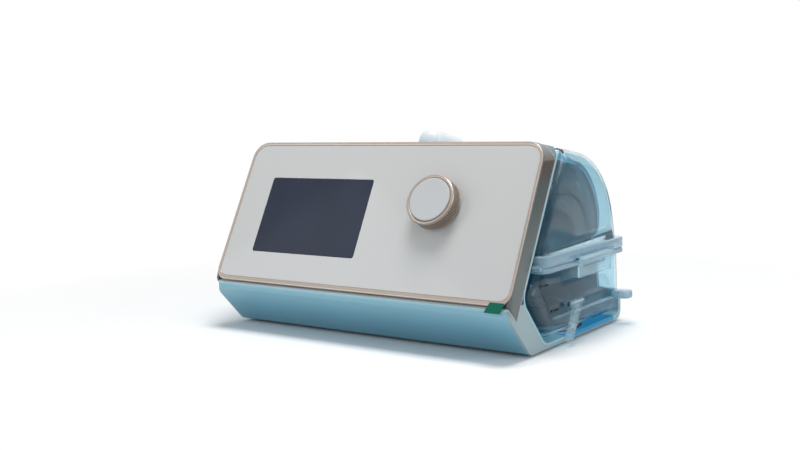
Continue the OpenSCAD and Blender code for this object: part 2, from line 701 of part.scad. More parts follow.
// Tube with two square bends, from the blower's outlet up to the bay's end wall
module riser(r, ends) {
    rod_x(box_hi[0] - box_wall - foam_t - ends, duct_x, outlet_arm_y, outlet_arm_z, r);
    translate([duct_x, outlet_arm_y, outlet_arm_z]) sphere(r = r + bend_swell, $fn = 48);
    rod_z(outlet_arm_z, inlet_port[1], duct_x, outlet_arm_y, r);
    translate([duct_x, outlet_arm_y, inlet_port[1]]) sphere(r = r + bend_swell, $fn = 48);
    rod_x(duct_x, bay_x - liner_t + ends, outlet_arm_y, inlet_port[1], r);
}

module inlet_duct() color("silver") place() difference() {
    riser(duct_r, 0);
    riser(duct_bore, 2);
}

module flow_sensor() color("darkgreen") place() difference() {
    union() {
        rod_x(duct_x + 10, bay_x - liner_t - 3, inlet_port[0], inlet_port[1], duct_r + 3);
        block([duct_x + 12, inlet_port[0] - 8, inlet_port[1] + 5],
            [bay_x - liner_t - 5, inlet_port[0] + 8, inlet_port[1] + duct_r + 9]);
    }
    rod_x(duct_x, bay_x, inlet_port[0], inlet_port[1], duct_r + seat_fit);
}

// Tube from the bay's end wall to the outlet in the top
module return_path(r, ends) {
    rod_x(outlet_x, bay_x - liner_t + ends, outlet_corner[1], outlet_corner[2], r);
    translate(outlet_corner) sphere(r = r + bend_swell, $fn = 48);
    on_outlet() translate([0, 0, -duct_drop]) cylinder(h = duct_drop - 17 + ends, r = r, $fn = 48);
}

module outlet_duct() color("silver") place() difference() {
    return_path(outlet_duct_r, 0);
    return_path(outlet_duct_bore, 2);
}

module outlet_socket() color("lightskyblue") place() on_outlet() difference() {
    union() {
        translate([0, 0, -17]) cylinder(h = 17.5, r = socket_r, $fn = 64);
        translate([0, 0, -wall - 2.4]) cylinder(h = 2, r = socket_r + 1.3, $fn = 64);
    }
    translate([0, 0, -14.5]) cylinder(h = 20, r = port_r + run_fit, $fn = 64);
    translate([0, 0, -20]) cylinder(h = 20, r = outlet_duct_bore, $fn = 64);
}

module outlet_elbow() color("white") place() on_outlet() difference() {
    union() {
        translate([0, 0, -14]) cylinder(h = 14 + arm_z, r = port_r, $fn = 64);
        translate([0, 0, arm_z]) sphere(r = collar_r + 0.1, $fn = 64);
        translate([0, 0, arm_z]) rotate([-90, 0, 0]) cylinder(h = collar_len, r = collar_r, $fn = 64);
        translate([0, 0, arm_z]) rotate([-90, 0, 0])
            cylinder(h = collar_len + port_len, r = port_r, $fn = 64);
    }
    translate([0, 0, -15]) cylinder(h = 15 + arm_z, r = port_bore_r, $fn = 64);
    translate([0, 0, arm_z]) sphere(r = port_bore_r + 0.2, $fn = 64);
    translate([0, 0, arm_z]) rotate([-90, 0, 0]) cylinder(
        h = collar_len + port_len + 1, r = port_bore_r, $fn = 64);
}

module filter_channel() color("gainsboro") place() difference() {
    block([filter_lo[0], box_hi[1], filter_lo[1]], [filter_hi[0], filter_end, filter_hi[1]]);
    block([filter_lo[0] + filter_wall, box_hi[1] - 1, filter_lo[1] + filter_wall],
        [filter_hi[0] - filter_wall, filter_end + 1, filter_hi[1] - filter_wall]);
}

module filter_pad() color("slategray") place()
    block([filter_lo[0] + filter_wall + 0.2, box_hi[1] + 2, filter_lo[1] + filter_wall],
        [filter_hi[0] - filter_wall - 0.2, filter_end - 2.5, filter_hi[1] - filter_wall - 0.2]);

module filter_cover() color("lightskyblue") place() difference() {
    union() {
        block([filter_lo[0] + 0.3, filter_end + 0.3, filter_lo[1] + 0.3],
            [filter_hi[0] - 0.3, filter_end + 4.2, filter_hi[1] - 0.3]);
        // snap tongues that reach into the channel
        for (x = [filter_lo[0] + filter_wall + 0.3, filter_hi[0] - filter_wall - 1.8])
            block([x, filter_end - 2, filter_lo[1] + 6], [x + 1.5, filter_end + 1, filter_hi[1] - 6]);
    }
    for (i = [0 : 4]) block([filter_lo[0] + 5, filter_end - 1, filter_lo[1] + 3.4 + 3.8 * i],
        [filter_hi[0] - 5, filter_end + 6, filter_lo[1] + 5.2 + 3.8 * i]);
}

module power_board() color("seagreen") place()
    block([-16, body_d - 54, power_board_z], [34, body_d - 15.5, power_board_z + board_t]);

module dc_socket() color("black") place() difference() {
    block([jack_c[0] - jack_size[0] / 2, body_d - 3 - jack_size[1], power_board_z + board_t],
        [jack_c[0] + jack_size[0] / 2, body_d - 3, power_board_z + board_t + jack_size[2]]);
    rod_y(body_d - 14, body_d + 1, jack_c[0], jack_c[1], 4);
}

module heater_insulator() color("saddlebrown") place()
    rod_z(wall, insulator_top, heater_c[0], heater_c[1], heater_r + 1.5);

module heater_plate() color("silver") place()
    rod_z(insulator_top, heater_top, heater_c[0], heater_c[1], heater_r);

// Soft rings round the two ports in the bay's end wall
module port_seals() color("dimgray") place() {
    for (p = [[inlet_port[0], inlet_port[1], duct_bore], [outlet_corner[1], outlet_corner[2], outlet_duct_bore]])
        difference() {
            rod_x(bay_x, chamber_x - dock_gap, p[0], p[1], p[2] + 3);
            rod_x(bay_x - 1, chamber_x + 1, p[0], p[1], p[2]);
        }
}

module feet() color("dimgray") place() for (s = foot_spots) rod_z(-foot_h, 0, s[0], s[1], foot_r);

module case_screws() color("silver") place() for (s = screw_spots) {
    rod_z(6, base_h + 12, s[0], s[1], screw_r);
    rod_z(4, 6, s[0], s[1], 2 * screw_r);
}

module film_tab() color("seagreen") place() on_panel() translate([0, 0, trim_proud])
    linear_extrude(0.3) polygon([[half_w - 15, -1.2], [half_w - 3.5, -1.2],
        [half_w - 5.5, tab_low], [half_w - 18, tab_low]]);

module sill_film() color("steelblue") place() difference() {
    union() {
        block([half_w, 86, 1.2], [half_w + 0.3, body_d - 16, floor_z + 0.3]);
        block([half_w - 18, 86, floor_z], [half_w + 0.3, body_d - 16, floor_z + 0.3]);
    }
    rod_z(wall - 0.1, floor_z + 1, heater_c[0], heater_c[1], heater_r + 2);
}

// Flange plate of the chamber seen from above
module flange_plate(z0, z1) translate([0, 0, z0]) linear_extrude(z1 - z0) polygon(rounded(
    box_corners(flange_in_x, flange_y0, flange_x, flange_y1, 8, 8)));
module flange_hole(z0, z1) translate([0, 0, z0]) linear_extrude(z1 - z0) polygon(rounded(
    box_corners(chamber_x + rim_in, flange_y0 + rim_in + 1, end_x - rim_in, flange_y1 - rim_in - 2, 6, 6)));

module tub_solid(d, top) intersection() {
    along_x(chamber_x + d, end_x - d) side(inward(tub_outline(top + d), d));
    linear_extrude(body_h) polygon(rounded(box_corners(chamber_x + d, 0, end_x - d,
        tub_back + 20, 8, 8)));
}

module knuckle(x0, x1, z0, z1) {
    rod_x(x0, x1, hinge_axis[0], hinge_axis[1], hinge_r);
    block([x0, hinge_axis[0], z0], [x1, flange_y0 + 1, z1]);
}

module tub() color([0.35, 0.55, 0.65, 0.5]) place() difference() {
    union() {
        tub_solid(0, flange_split - seal_t / 2);
        flange_plate(flange_z, flange_split - seal_t / 2);
        // rim along the outer face and the grip tab at its back end
        block([end_x - 1, 58, 21], [end_x + 1.8, body_d - 18, 22.8]);
        translate([0, 0, 20]) linear_extrude(6.5) polygon(rounded([[end_x - 1, body_d - 24, 0],
            [end_x + grip_reach, body_d - 22, 6], [end_x + grip_reach, body_d - 6, 6],
            [end_x - 1, body_d - 12, 0]]));
        for (x = [[0, 1], [2, 3]]) knuckle(knuckle_x[x[0]], knuckle_x[x[1]], flange_split - 2, flange_split - seal_t / 2);
        // ears that carry the lever's pin
        for (y = [lever_y[0] - 3, lever_y[1] + 0.3]) {
            rod_y(y, y + 2.7, lever_axis[0], lever_axis[1], lever_barrel);
            block([end_x - 0.5, y, lever_axis[1] - lever_barrel],
                [lever_axis[0], y + 2.7, lever_axis[1] + lever_barrel]);
        }
    }
    tub_solid(tub_wall, flange_split + 2);
    rod_z(0, tub_z + tub_wall + 1, heater_c[0], heater_c[1], heater_r - 1);
    rod_z(0, tub_z + 1.1, heater_c[0], heater_c[1], heater_r + 1);
    rod_y(lever_y[0] - 5, lever_y[1] + 5, lever_axis[0], lever_axis[1], clip_pin_r + seat_fit);
    rod_x(knuckle_x[0] - 1, knuckle_x[3] + 1, hinge_axis[0], hinge_axis[1], clip_pin_r + seat_fit);
    // clearance round the lid's knuckle
    block([knuckle_x[1], hinge_axis[0] - 4, flange_z + 1], [knuckle_x[2], flange_y0 + 1.2, flange_split + 4]);
}

module tub_seal() color("whitesmoke") place() difference() {
    translate([0, 0, flange_split - seal_t / 2]) linear_extrude(seal_t) polygon(rounded(box_corners(
        flange_in_x + 2, flange_y0 + 2, flange_x - 2, flange_y1 - 2, 6, 6)));
    flange_hole(flange_split - 5, flange_split + 5);
    block([knuckle_x[0] - 1, hinge_axis[0] - 4, flange_z], [knuckle_x[3] + 1, flange_y0 + 2.4, flange_top]);
}

// Dome of the lid: low under the roof, full height past its end
module lid_solid(d) intersection() {
    union() {
        along_x(chamber_x + d, roof_x + cap_gap + lid_wall + 1) side(inward(lid_outline, lid_drop + d));
        along_x(roof_x + cap_gap + d, end_x - d) side(inward(lid_outline, d));
    }
    along_y(0, body_d) polygon(rounded([[chamber_x + d, 0, 0], [end_x - d, 0, 0],
        [end_x - d, body_h - d, lid_r - d], [chamber_x + d, body_h - d, 4]]));
    linear_extrude(body_h + 10) polygon(rounded([[chamber_x + d, 20, 0], [end_x - d, 20, 0],
        [end_x - d, lid_back + 2 - d, lid_r - d], [chamber_x + d, lid_back + 2 - d, 4]]));
}

module lid() color([0.4, 0.65, 0.75, 0.5]) place() difference() {
    union() {
        intersection() {
            lid_solid(0);
            block([0, 0, flange_top - 1], [end_x + 5, body_d, body_h + 10]);
        }
        flange_plate(flange_split + seal_t / 2, flange_top);
        knuckle(knuckle_x[1] + 0.3, knuckle_x[2] - 0.3, flange_split + seal_t / 2, flange_split + 2.4);
        // ears that carry the clip's pin
        for (y = [clip_y[0] - 3, clip_y[1] + 0.3])
            block([flange_x - 1, y, clip_axis[1]], [clip_axis[0] + 1.9, y + 2.7, clip_axis[1] + 4]);
        for (y = [clip_y[0] - 3, clip_y[1] + 0.3])
            rod_y(y, y + 2.7, clip_axis[0], clip_axis[1], clip_barrel);
    }
    intersection() {
        lid_solid(lid_wall);
        block([0, 0, flange_top - 2], [end_x + 5, body_d, body_h + 10]);
    }
    flange_hole(flange_z, flange_top + 1);
    rod_x(chamber_x - 3, chamber_x + lid_wall + 1, inlet_port[0], inlet_port[1], duct_bore);
    rod_x(chamber_x - 3, chamber_x + lid_wall + 1, outlet_corner[1], outlet_corner[2], outlet_duct_bore);
    rod_y(clip_y[0] - 5, clip_y[1] + 5, clip_axis[0], clip_axis[1], clip_pin_r + seat_fit);
    rod_x(knuckle_x[0], knuckle_x[3], hinge_axis[0], hinge_axis[1], clip_pin_r + seat_fit);
}

module heat_base() color("silver") place()
    rod_z(tub_z, tub_z + 1, heater_c[0], heater_c[1], heater_r + 0.9);

module air_tube() color([0.5, 0.7, 0.8, 0.6]) place() difference() {
    rod_x(chamber_x + lid_wall, chamber_x + 34, inlet_port[0], inlet_port[1], duct_bore + 1.5);
    rod_x(chamber_x, chamber_x + 40, inlet_port[0], inlet_port[1], duct_bore);
}

// Plain ticks and pointers for the highest and lowest water level
module level_marks() color("midnightblue") place() for (m = [[38, 47.5], [54, 27]])
    along_x(end_x, end_x + 0.2) {
        translate([m[0] + 5, m[1]]) square([8, 1]);
        polygon([[m[0], m[1] + 1.8], [m[0] + 1.5, m[1] - 0.8], [m[0] + 3, m[1] + 1.8]]);
    }

module lid_hinge_pin() color("silver") place()
    rod_x(knuckle_x[0] + 0.5, knuckle_x[3] - 0.5, hinge_axis[0], hinge_axis[1], clip_pin_r);

module clip_pin() color("silver") place()
    rod_y(clip_y[0] - 2.8, clip_y[1] + 2.8, clip_axis[0], clip_axis[1], clip_pin_r);

module lever_pin() color("silver") place()
    rod_y(lever_y[0] - 2.8, lever_y[1] + 2.8, lever_axis[0], lever_axis[1], clip_pin_r);

// Flap that hooks under the tub's flange and lifts off it when swung outward
module lid_clip() color([0.4, 0.65, 0.75, 0.6]) place() difference() {
    union() {
        rod_y(clip_y[0] + 0.3, clip_y[1], clip_axis[0], clip_axis[1], clip_barrel);
        block([flange_x + 0.6, clip_y[0] + 0.3, clip_low], [flange_x + 2.4, clip_y[1], clip_axis[1]]);
        block([flange_x - 2.5, clip_y[0] + 8, flange_z - 2.2], [flange_x + 1.5, clip_y[1] - 8, flange_z - 0.4]);
    }
    rod_y(clip_y[0] - 5, clip_y[1] + 5, clip_axis[0], clip_axis[1], clip_pin_r + run_fit);
}

// V-shaped finger lever in front of the tub
module release_lever() color([0.4, 0.65, 0.75, 0.6]) place() difference() {
    union() {
        rod_y(lever_y[0], lever_y[1], lever_axis[0], lever_axis[1], lever_barrel);
        along_x(lever_axis[0], lever_axis[0] + lever_barrel) side([
            [lever_y[0], lever_axis[1], 0], [lever_y[0], lever_axis[1] - 5, 1],
            [lever_y[0] - 8, 12, 2], [lever_y[0] - 16, 3, 3],
            [lever_y[0] - 2, 3, 3], [lever_y[1], lever_axis[1], 0]]);
    }
    along_x(lever_axis[0] - 5, lever_axis[0] + 5) side([
        [lever_y[0] + 3, lever_axis[1] - 3.5, 1], [lever_y[0] - 3.5, 13, 1.5],
        [lever_y[1] - 6, lever_axis[1] - 3.5, 1]]);
    rod_y(lever_y[0] - 5, lever_y[1] + 5, lever_axis[0], lever_axis[1], clip_pin_r + run_fit);
}

base_shell();
top_cover();
bay_liner();
front_frame();
fascia();
display_lens();
lcd_module();
main_board();
encoder_body();
encoder_bushing();
encoder_nut();
switch_dome();
encoder_plunger();
knob_shaft();
knob_ring();
knob_cap();
muffler_box();
muffler_lid();
acoustic_foam();
blower_mounts();
blower_lower_case();
blower_upper_case();
blower_motor();
motor_bearings();
rotor_shaft();
rotor_magnet();
impeller();
inlet_duct();
flow_sensor();
outlet_duct();
outlet_socket();
outlet_elbow();
filter_channel();
filter_pad();
filter_cover();
power_board();
dc_socket();
heater_insulator();
heater_plate();
port_seals();
feet();
case_screws();
film_tab();
sill_film();
tub();
tub_seal();
lid();
heat_base();
air_tube();
level_marks();
lid_hinge_pin();
lid_clip();
clip_pin();
release_lever();
lever_pin();
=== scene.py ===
"""Looks of a bedside breathing-air machine: pale blue housing, white sloping panel with a dark display and a
knurled knob, and a clear water chamber in its right-hand end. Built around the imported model."""
import json

import bmesh
import bpy
import numpy as np
from mathutils import Matrix


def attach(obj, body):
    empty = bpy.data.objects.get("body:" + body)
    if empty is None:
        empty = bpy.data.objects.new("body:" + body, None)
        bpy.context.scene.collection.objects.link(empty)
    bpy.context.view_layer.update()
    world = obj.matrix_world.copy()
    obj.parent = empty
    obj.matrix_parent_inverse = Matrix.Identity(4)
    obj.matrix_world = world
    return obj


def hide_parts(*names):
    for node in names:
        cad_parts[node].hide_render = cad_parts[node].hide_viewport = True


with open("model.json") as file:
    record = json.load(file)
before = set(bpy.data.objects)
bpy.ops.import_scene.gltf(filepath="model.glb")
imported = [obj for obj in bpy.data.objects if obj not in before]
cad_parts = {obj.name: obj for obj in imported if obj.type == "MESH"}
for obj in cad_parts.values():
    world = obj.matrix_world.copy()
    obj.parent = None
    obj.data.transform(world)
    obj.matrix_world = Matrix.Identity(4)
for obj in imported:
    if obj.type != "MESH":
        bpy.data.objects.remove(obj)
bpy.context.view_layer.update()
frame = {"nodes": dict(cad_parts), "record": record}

nodes = frame["nodes"]
scene = bpy.context.scene

# ---- camera ----
# A 46 mm lens from the front right, a little above the top of the machine and a little out of level, as in the
# photograph. The frame is 800 pixels wide.
azimuth, pitch, roll = np.radians([35.48, 6.15, -1.33])
back = np.array([np.sin(azimuth) * np.cos(pitch), -np.cos(azimuth) * np.cos(pitch), np.sin(pitch)])
right = np.cross(-back, [0, 0, 1])
right /= np.linalg.norm(right)
up = np.cross(back, right)
camera_data = bpy.data.cameras.new("camera")
sensor_width, picture_width, focal_pixels = 36, 800, 1019.7
camera_data.sensor_width = sensor_width
camera_data.lens = focal_pixels / picture_width * sensor_width
camera = bpy.data.objects.new("camera", camera_data)
turned = np.eye(4)
turned[:3, 0] = np.cos(roll) * right + np.sin(roll) * up
turned[:3, 1] = np.cos(roll) * up - np.sin(roll) * right
turned[:3, 2] = back
turned[:3, 3] = [0.46895, -0.69040, 0.17364]
camera.matrix_world = Matrix(turned.tolist())
scene.collection.objects.link(camera)
scene.camera = camera
scene.view_settings.view_transform = "Standard"


# ---- studio ----
# A pale table top under an even white surround, with one wide soft lamp overhead and weak ones at both sides.
def srgb(red, green, blue):
    """Screen colour 0-255 to the linear colour that a shader takes: ((c + 0.055) / 1.055) to the power 2.4."""
    share = np.array([red, green, blue]) / 255
    return (*np.where(share < 0.04045, share / 12.92, ((share + 0.055) / 1.055) ** 2.4), 1.0)


def lamp(name, place, aim, size, power, colour=(1, 1, 1)):
    """A square softbox at place, facing aim."""
    data = bpy.data.lights.new(name, "AREA")
    data.size = size
    data.energy = power
    data.color = colour
    lit = bpy.data.objects.new(name, data)
    direction = np.array(aim, float) - np.array(place, float)
    z = -direction / np.linalg.norm(direction)
    x = np.cross([0, 1, 0], z)
    x /= np.linalg.norm(x)
    turn = np.eye(4)
    turn[:3, 0], turn[:3, 1], turn[:3, 2], turn[:3, 3] = x, np.cross(z, x), z, place
    lit.matrix_world = Matrix(turn.tolist())
    scene.collection.objects.link(lit)


lamp("overhead", (0.12, -0.04, 1.2), (0.02, 0, 0.08), 0.5, 9.5)
lamp("left_fill", (-0.8, -1.0, 0.5), (0, 0, 0.07), 0.8, 2.2, (0.97, 0.99, 1.0))
lamp("right_fill", (1.1, 0.1, 0.5), (0.13, 0, 0.07), 0.5, 2.2)


def wire(tree, source, target):
    """One link between two sockets."""
    tree.links.new(source, target)


world = bpy.data.worlds.new("surround")
scene.world = world
world.use_nodes = True
tree = world.node_tree
tree.nodes.clear()
surround = tree.nodes.new("ShaderNodeBackground")
surround.inputs["Color"].default_value = (0.95, 0.98, 1.0, 1)
surround.inputs["Strength"].default_value = 0.42
seen = tree.nodes.new("ShaderNodeBackground")
seen.inputs["Color"].default_value = (1, 1, 1, 1)
seen.inputs["Strength"].default_value = 1
light_path = tree.nodes.new("ShaderNodeLightPath")
seen_by = tree.nodes.new("ShaderNodeMath")
seen_by.operation = "MAXIMUM"
through = tree.nodes.new("ShaderNodeMath")
through.operation = "MAXIMUM"
choose = tree.nodes.new("ShaderNodeMixShader")
output = tree.nodes.new("ShaderNodeOutputWorld")
wire(tree, light_path.outputs["Is Camera Ray"], seen_by.inputs[0])
wire(tree, light_path.outputs["Is Glossy Ray"], seen_by.inputs[1])
wire(tree, seen_by.outputs[0], through.inputs[0])
wire(tree, light_path.outputs["Is Transmission Ray"], through.inputs[1])
wire(tree, through.outputs[0], choose.inputs["Fac"])
wire(tree, surround.outputs[0], choose.inputs[1])
wire(tree, seen.outputs[0], choose.inputs[2])
wire(tree, choose.outputs[0], output.inputs["Surface"])

half_table = 6
floor_mesh = bpy.data.meshes.new("table_top")
floor_mesh.from_pydata([(-half_table, -half_table, 0), (half_table, -half_table, 0), (half_table, half_table, 0),
                        (-half_table, half_table, 0)], [], [(0, 1, 2, 3)])
floor = bpy.data.objects.new("table_top", floor_mesh)
scene.collection.objects.link(floor)

# Seen directly or through clear plastic, the table is near white and turns to plain white further out; for
# light that it throws back on the machine it is pale grey.
table = bpy.data.materials.new("table_top")
table.use_nodes = True
tree = table.node_tree
tree.nodes.clear()
near = tree.nodes.new("ShaderNodeBsdfDiffuse")
near.inputs["Color"].default_value = (0.97, 0.97, 0.97, 1)
bounced = tree.nodes.new("ShaderNodeBsdfDiffuse")
bounced.inputs["Color"].default_value = (0.66, 0.70, 0.72, 1)
bright = tree.nodes.new("ShaderNodeEmission")
place = tree.nodes.new("ShaderNodeTexCoord")
reach = tree.nodes.new("ShaderNodeVectorMath")
reach.operation = "LENGTH"
fade = tree.nodes.new("ShaderNodeMapRange")
fade.inputs["From Min"].default_value = 0.17
fade.inputs["From Max"].default_value = 0.5
light_path = tree.nodes.new("ShaderNodeLightPath")
look = tree.nodes.new("ShaderNodeMath")
look.operation = "MAXIMUM"
distance = tree.nodes.new("ShaderNodeMixShader")
blend = tree.nodes.new("ShaderNodeMixShader")
output = tree.nodes.new("ShaderNodeOutputMaterial")
wire(tree, place.outputs["Object"], reach.inputs[0])
wire(tree, reach.outputs["Value"], fade.inputs["Value"])
wire(tree, fade.outputs["Result"], distance.inputs["Fac"])
wire(tree, near.outputs[0], distance.inputs[1])
wire(tree, bright.outputs[0], distance.inputs[2])
wire(tree, light_path.outputs["Is Camera Ray"], look.inputs[0])
wire(tree, light_path.outputs["Is Transmission Ray"], look.inputs[1])
wire(tree, look.outputs[0], blend.inputs["Fac"])
wire(tree, bounced.outputs[0], blend.inputs[1])
wire(tree, distance.outputs[0], blend.inputs[2])
wire(tree, blend.outputs[0], output.inputs["Surface"])
floor.data.materials.append(table)


# ---- base shell ----
# The lower half of the housing: pale blue ABS, injection moulded with a fine satin texture. Painted light is laid
# in its colour: the front is painted lighter towards the top, a painted highlight runs as a pale ledge under the
# front frame, and the right-hand end cheek, which frames the chamber bay, is painted greyer as painted reflection.
def make_group(name, inputs, outputs):
    """An empty shader node group with the named sockets; returns the tree and its two end nodes."""
    group = bpy.data.node_groups.new(name, "ShaderNodeTree")
    for label, kind, value in inputs:
        socket = group.interface.new_socket(label, in_out="INPUT", socket_type=kind)
        if value is not None:
            socket.default_value = value
    for label, kind in outputs:
        group.interface.new_socket(label, in_out="OUTPUT", socket_type=kind)
    return group, group.nodes.new("NodeGroupInput"), group.nodes.new("NodeGroupOutput")


# Moulded plastic: slow clouds darken the colour a little, finer ones add smudges to the roughness, and a fine
# grain gives the height.
moulded, entry, result = make_group(
    "moulded_surface",
    [("Vector", "NodeSocketVector", None), ("Color", "NodeSocketColor", (0.8, 0.8, 0.8, 1)),
     ("Drift", "NodeSocketFloat", 0.06), ("Roughness", "NodeSocketFloat", 0.4),
     ("Smudge", "NodeSocketFloat", 0.08), ("Grain Scale", "NodeSocketFloat", 2600.0)],
    [("Color", "NodeSocketColor"), ("Roughness", "NodeSocketFloat"), ("Height", "NodeSocketFloat")])
put, join = moulded.nodes.new, moulded.links.new
clouds = put("ShaderNodeTexNoise")
clouds.inputs["Scale"].default_value = 14
clouds.inputs["Detail"].default_value = 3
join(entry.outputs["Vector"], clouds.inputs["Vector"])
spread = put("ShaderNodeMapRange")
spread.inputs["From Min"].default_value = 0.3
spread.inputs["From Max"].default_value = 0.7
join(clouds.outputs["Fac"], spread.inputs["Value"])
lean = put("ShaderNodeMath")
lean.operation = "MULTIPLY"
join(spread.outputs["Result"], lean.inputs[0])
join(entry.outputs["Drift"], lean.inputs[1])
brightness = put("ShaderNodeMath")
brightness.operation = "SUBTRACT"
brightness.inputs[0].default_value = 1
join(lean.outputs[0], brightness.inputs[1])
shade = put("ShaderNodeVectorMath")
shade.operation = "SCALE"
join(entry.outputs["Color"], shade.inputs[0])
join(brightness.outputs[0], shade.inputs["Scale"])
join(shade.outputs[0], result.inputs["Color"])
touch = put("ShaderNodeTexNoise")
touch.inputs["Scale"].default_value = 70
touch.inputs["Detail"].default_value = 4
join(entry.outputs["Vector"], touch.inputs["Vector"])
smudges = put("ShaderNodeMath")
smudges.operation = "MULTIPLY_ADD"
join(touch.outputs["Fac"], smudges.inputs[0])
join(entry.outputs["Smudge"], smudges.inputs[1])
join(entry.outputs["Roughness"], smudges.inputs[2])
join(smudges.outputs[0], result.inputs["Roughness"])
grain = put("ShaderNodeTexNoise")
grain.inputs["Detail"].default_value = 2
join(entry.outputs["Vector"], grain.inputs["Vector"])
join(entry.outputs["Grain Scale"], grain.inputs["Scale"])
join(grain.outputs["Fac"], result.inputs["Height"])


def surface(name, group, values, bump, bands=(), **plain):
    """A material whose group works out colour, roughness and height from Object coordinates. values go to the
    group's sockets, bump is (strength, depth in metres), plain values go to the shader's own sockets, and each
    band (axis, start, end, colour) turns the colour smoothly into its own from start to end, in metres."""
    material = bpy.data.materials.new(name)
    material.use_nodes = True
    inside, links = material.node_tree.nodes, material.node_tree.links
    shader = inside["Principled BSDF"]
    where = inside.new("ShaderNodeTexCoord")
    pattern = inside.new("ShaderNodeGroup")
    pattern.node_tree = group
    links.new(where.outputs["Object"], pattern.inputs["Vector"])
    for label, value in values.items():
        pattern.inputs[label].default_value = value
    if bands:
        axes = inside.new("ShaderNodeSeparateXYZ")
        links.new(where.outputs["Object"], axes.inputs[0])
        before = None
        for axis, start, end, colour in bands:
            ramp = inside.new("ShaderNodeMapRange")
            ramp.interpolation_type = "SMOOTHSTEP"
            ramp.inputs["From Min"].default_value, ramp.inputs["From Max"].default_value = start, end
            links.new(axes.outputs[axis], ramp.inputs["Value"])
            mixed = inside.new("ShaderNodeMix")
            mixed.data_type = "RGBA"
            links.new(ramp.outputs["Result"], mixed.inputs["Factor"])
            if before is None:
                mixed.inputs[6].default_value = values["Color"]
            else:
                links.new(before, mixed.inputs[6])
            mixed.inputs[7].default_value = colour
            before = mixed.outputs[2]
        links.new(before, pattern.inputs["Color"])
    links.new(pattern.outputs["Color"], shader.inputs["Base Color"])
    links.new(pattern.outputs["Roughness"], shader.inputs["Roughness"])
    relief = inside.new("ShaderNodeBump")
    relief.inputs["Strength"].default_value, relief.inputs["Distance"].default_value = bump
    links.new(pattern.outputs["Height"], relief.inputs["Height"])
    links.new(relief.outputs["Normal"], shader.inputs["Normal"])
    for label, value in plain.items():
        shader.inputs[label.replace("_", " ")].default_value = value
    return material


def plastic(name, colour, roughness=0.35, drift=0.06, smudge=0.08, grain=2600.0, bump=(0.15, 0.00004),
            bands=(), **plain):
    """Moulded plastic in one colour."""
    return surface(name, moulded, {"Color": colour, "Roughness": roughness, "Drift": drift, "Smudge": smudge,
                                   "Grain Scale": grain}, bump, bands, **plain)


bodies = {node: body for body, held in frame["record"]["behaviour"]["bodies"].items() for node in held}
slots = {part["node"]: part["material_slot"] for part in frame["record"]["subparts"]}


def fitted(piece, node, stands=True):
    """Puts a piece on its node's body; it stands for the node if stands is true."""
    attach(piece, bodies[node])
    if stands:
        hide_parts(node)


def softened(node, width=0.4, sharp=30, open_end=None):
    """A copy of a CAD node with its triangles merged and its flat faces made whole, smooth over its small
    facets, and its sharp edges rounded by a bevel of the given width in mm. It stands for the node. open_end
    (x, y, z in metres) takes away what lies past x, behind y and above z, and closes the cuts."""
    mesh = nodes[node].data.copy()
    mesh.name = node + "_skin"
    build = bmesh.new()
    build.from_mesh(mesh)
    bmesh.ops.remove_doubles(build, verts=build.verts, dist=1e-6)
    if open_end is not None:
        x, y, z = open_end
        for normal, at in (((1, 0, 0), (x, 0, 0)), ((0, 0, 1), (0, 0, z))):
            bmesh.ops.bisect_plane(build, geom=build.verts[:] + build.edges[:] + build.faces[:], dist=1e-7,
                                   plane_co=at, plane_no=normal)
        gone = [face for face in build.faces
                if face.calc_center_median().x > x and face.calc_center_median().y > y
                and face.calc_center_median().z > z]
        bmesh.ops.delete(build, geom=gone, context="FACES")
        # The upright and the level cut meet in an edge across the wall, and each is filled by itself.
        close = 1e-5
        rim = [edge for edge in build.edges if edge.is_boundary]
        turn_ends = sorted({vert for edge in rim for vert in edge.verts
                            if abs(vert.co.x - x) < close and abs(vert.co.z - z) < close},
                           key=lambda vert: vert.co.y)
        across_wall = [build.edges.get(pair) or build.edges.new(pair)
                       for pair in zip(turn_ends[::2], turn_ends[1::2])]
        for axis, at in ((0, x), (2, z)):
            cut = [edge for edge in rim if all(abs(vert.co[axis] - at) < close for vert in edge.verts)]
            bmesh.ops.triangle_fill(build, use_beauty=True, use_dissolve=False,
                                    normal=(axis == 0, 0, axis == 2), edges=cut + across_wall)
        bmesh.ops.recalc_face_normals(build, faces=build.faces)
    bmesh.ops.dissolve_limit(build, angle_limit=np.radians(0.5), verts=build.verts, edges=build.edges)
    build.to_mesh(mesh)
    build.free()
    mesh.shade_smooth()
    mesh.set_sharp_from_angle(angle=np.radians(sharp))
    piece = bpy.data.objects.new(node + "_skin", mesh)
    scene.collection.objects.link(piece)
    if width:
        edge = piece.modifiers.new("edge", "BEVEL")
        edge.width = width / 1000
        edge.segments = 2
        edge.limit_method = "ANGLE"
        edge.angle_limit = np.radians(sharp)
        edge.use_clamp_overlap = True
        edge.harden_normals = True
    fitted(piece, node)
    return piece


def finish(piece, material):
    """Gives a piece its one material."""
    piece.data.materials.clear()
    piece.data.materials.append(material)


shell_blue = plastic("shell_blue", srgb(126, 184, 208), 0.32, Coat_Weight=0.25, Coat_Roughness=0.15)
opened = (0.114, 0.05, 0.026)
# Painted light in the bands: lighter towards the top of the front, a pale painted highlight along the ledge, one
# middle blue behind the front so that both stay at the front, and painted reflection greying the end cheek.
base_blue = plastic("base_blue", srgb(128, 184, 206), 0.32, Coat_Weight=0.25, Coat_Roughness=0.15, bands=[
    ("Z", 0.016, 0.036, srgb(152, 204, 222)), ("Z", 0.0378, 0.0396, srgb(206, 222, 228)),
    ("Y", -0.068, -0.06, srgb(140, 194, 214)), ("X", 0.1285, 0.1312, srgb(166, 188, 192))])
finish(softened("base_shell", open_end=opened), base_blue)

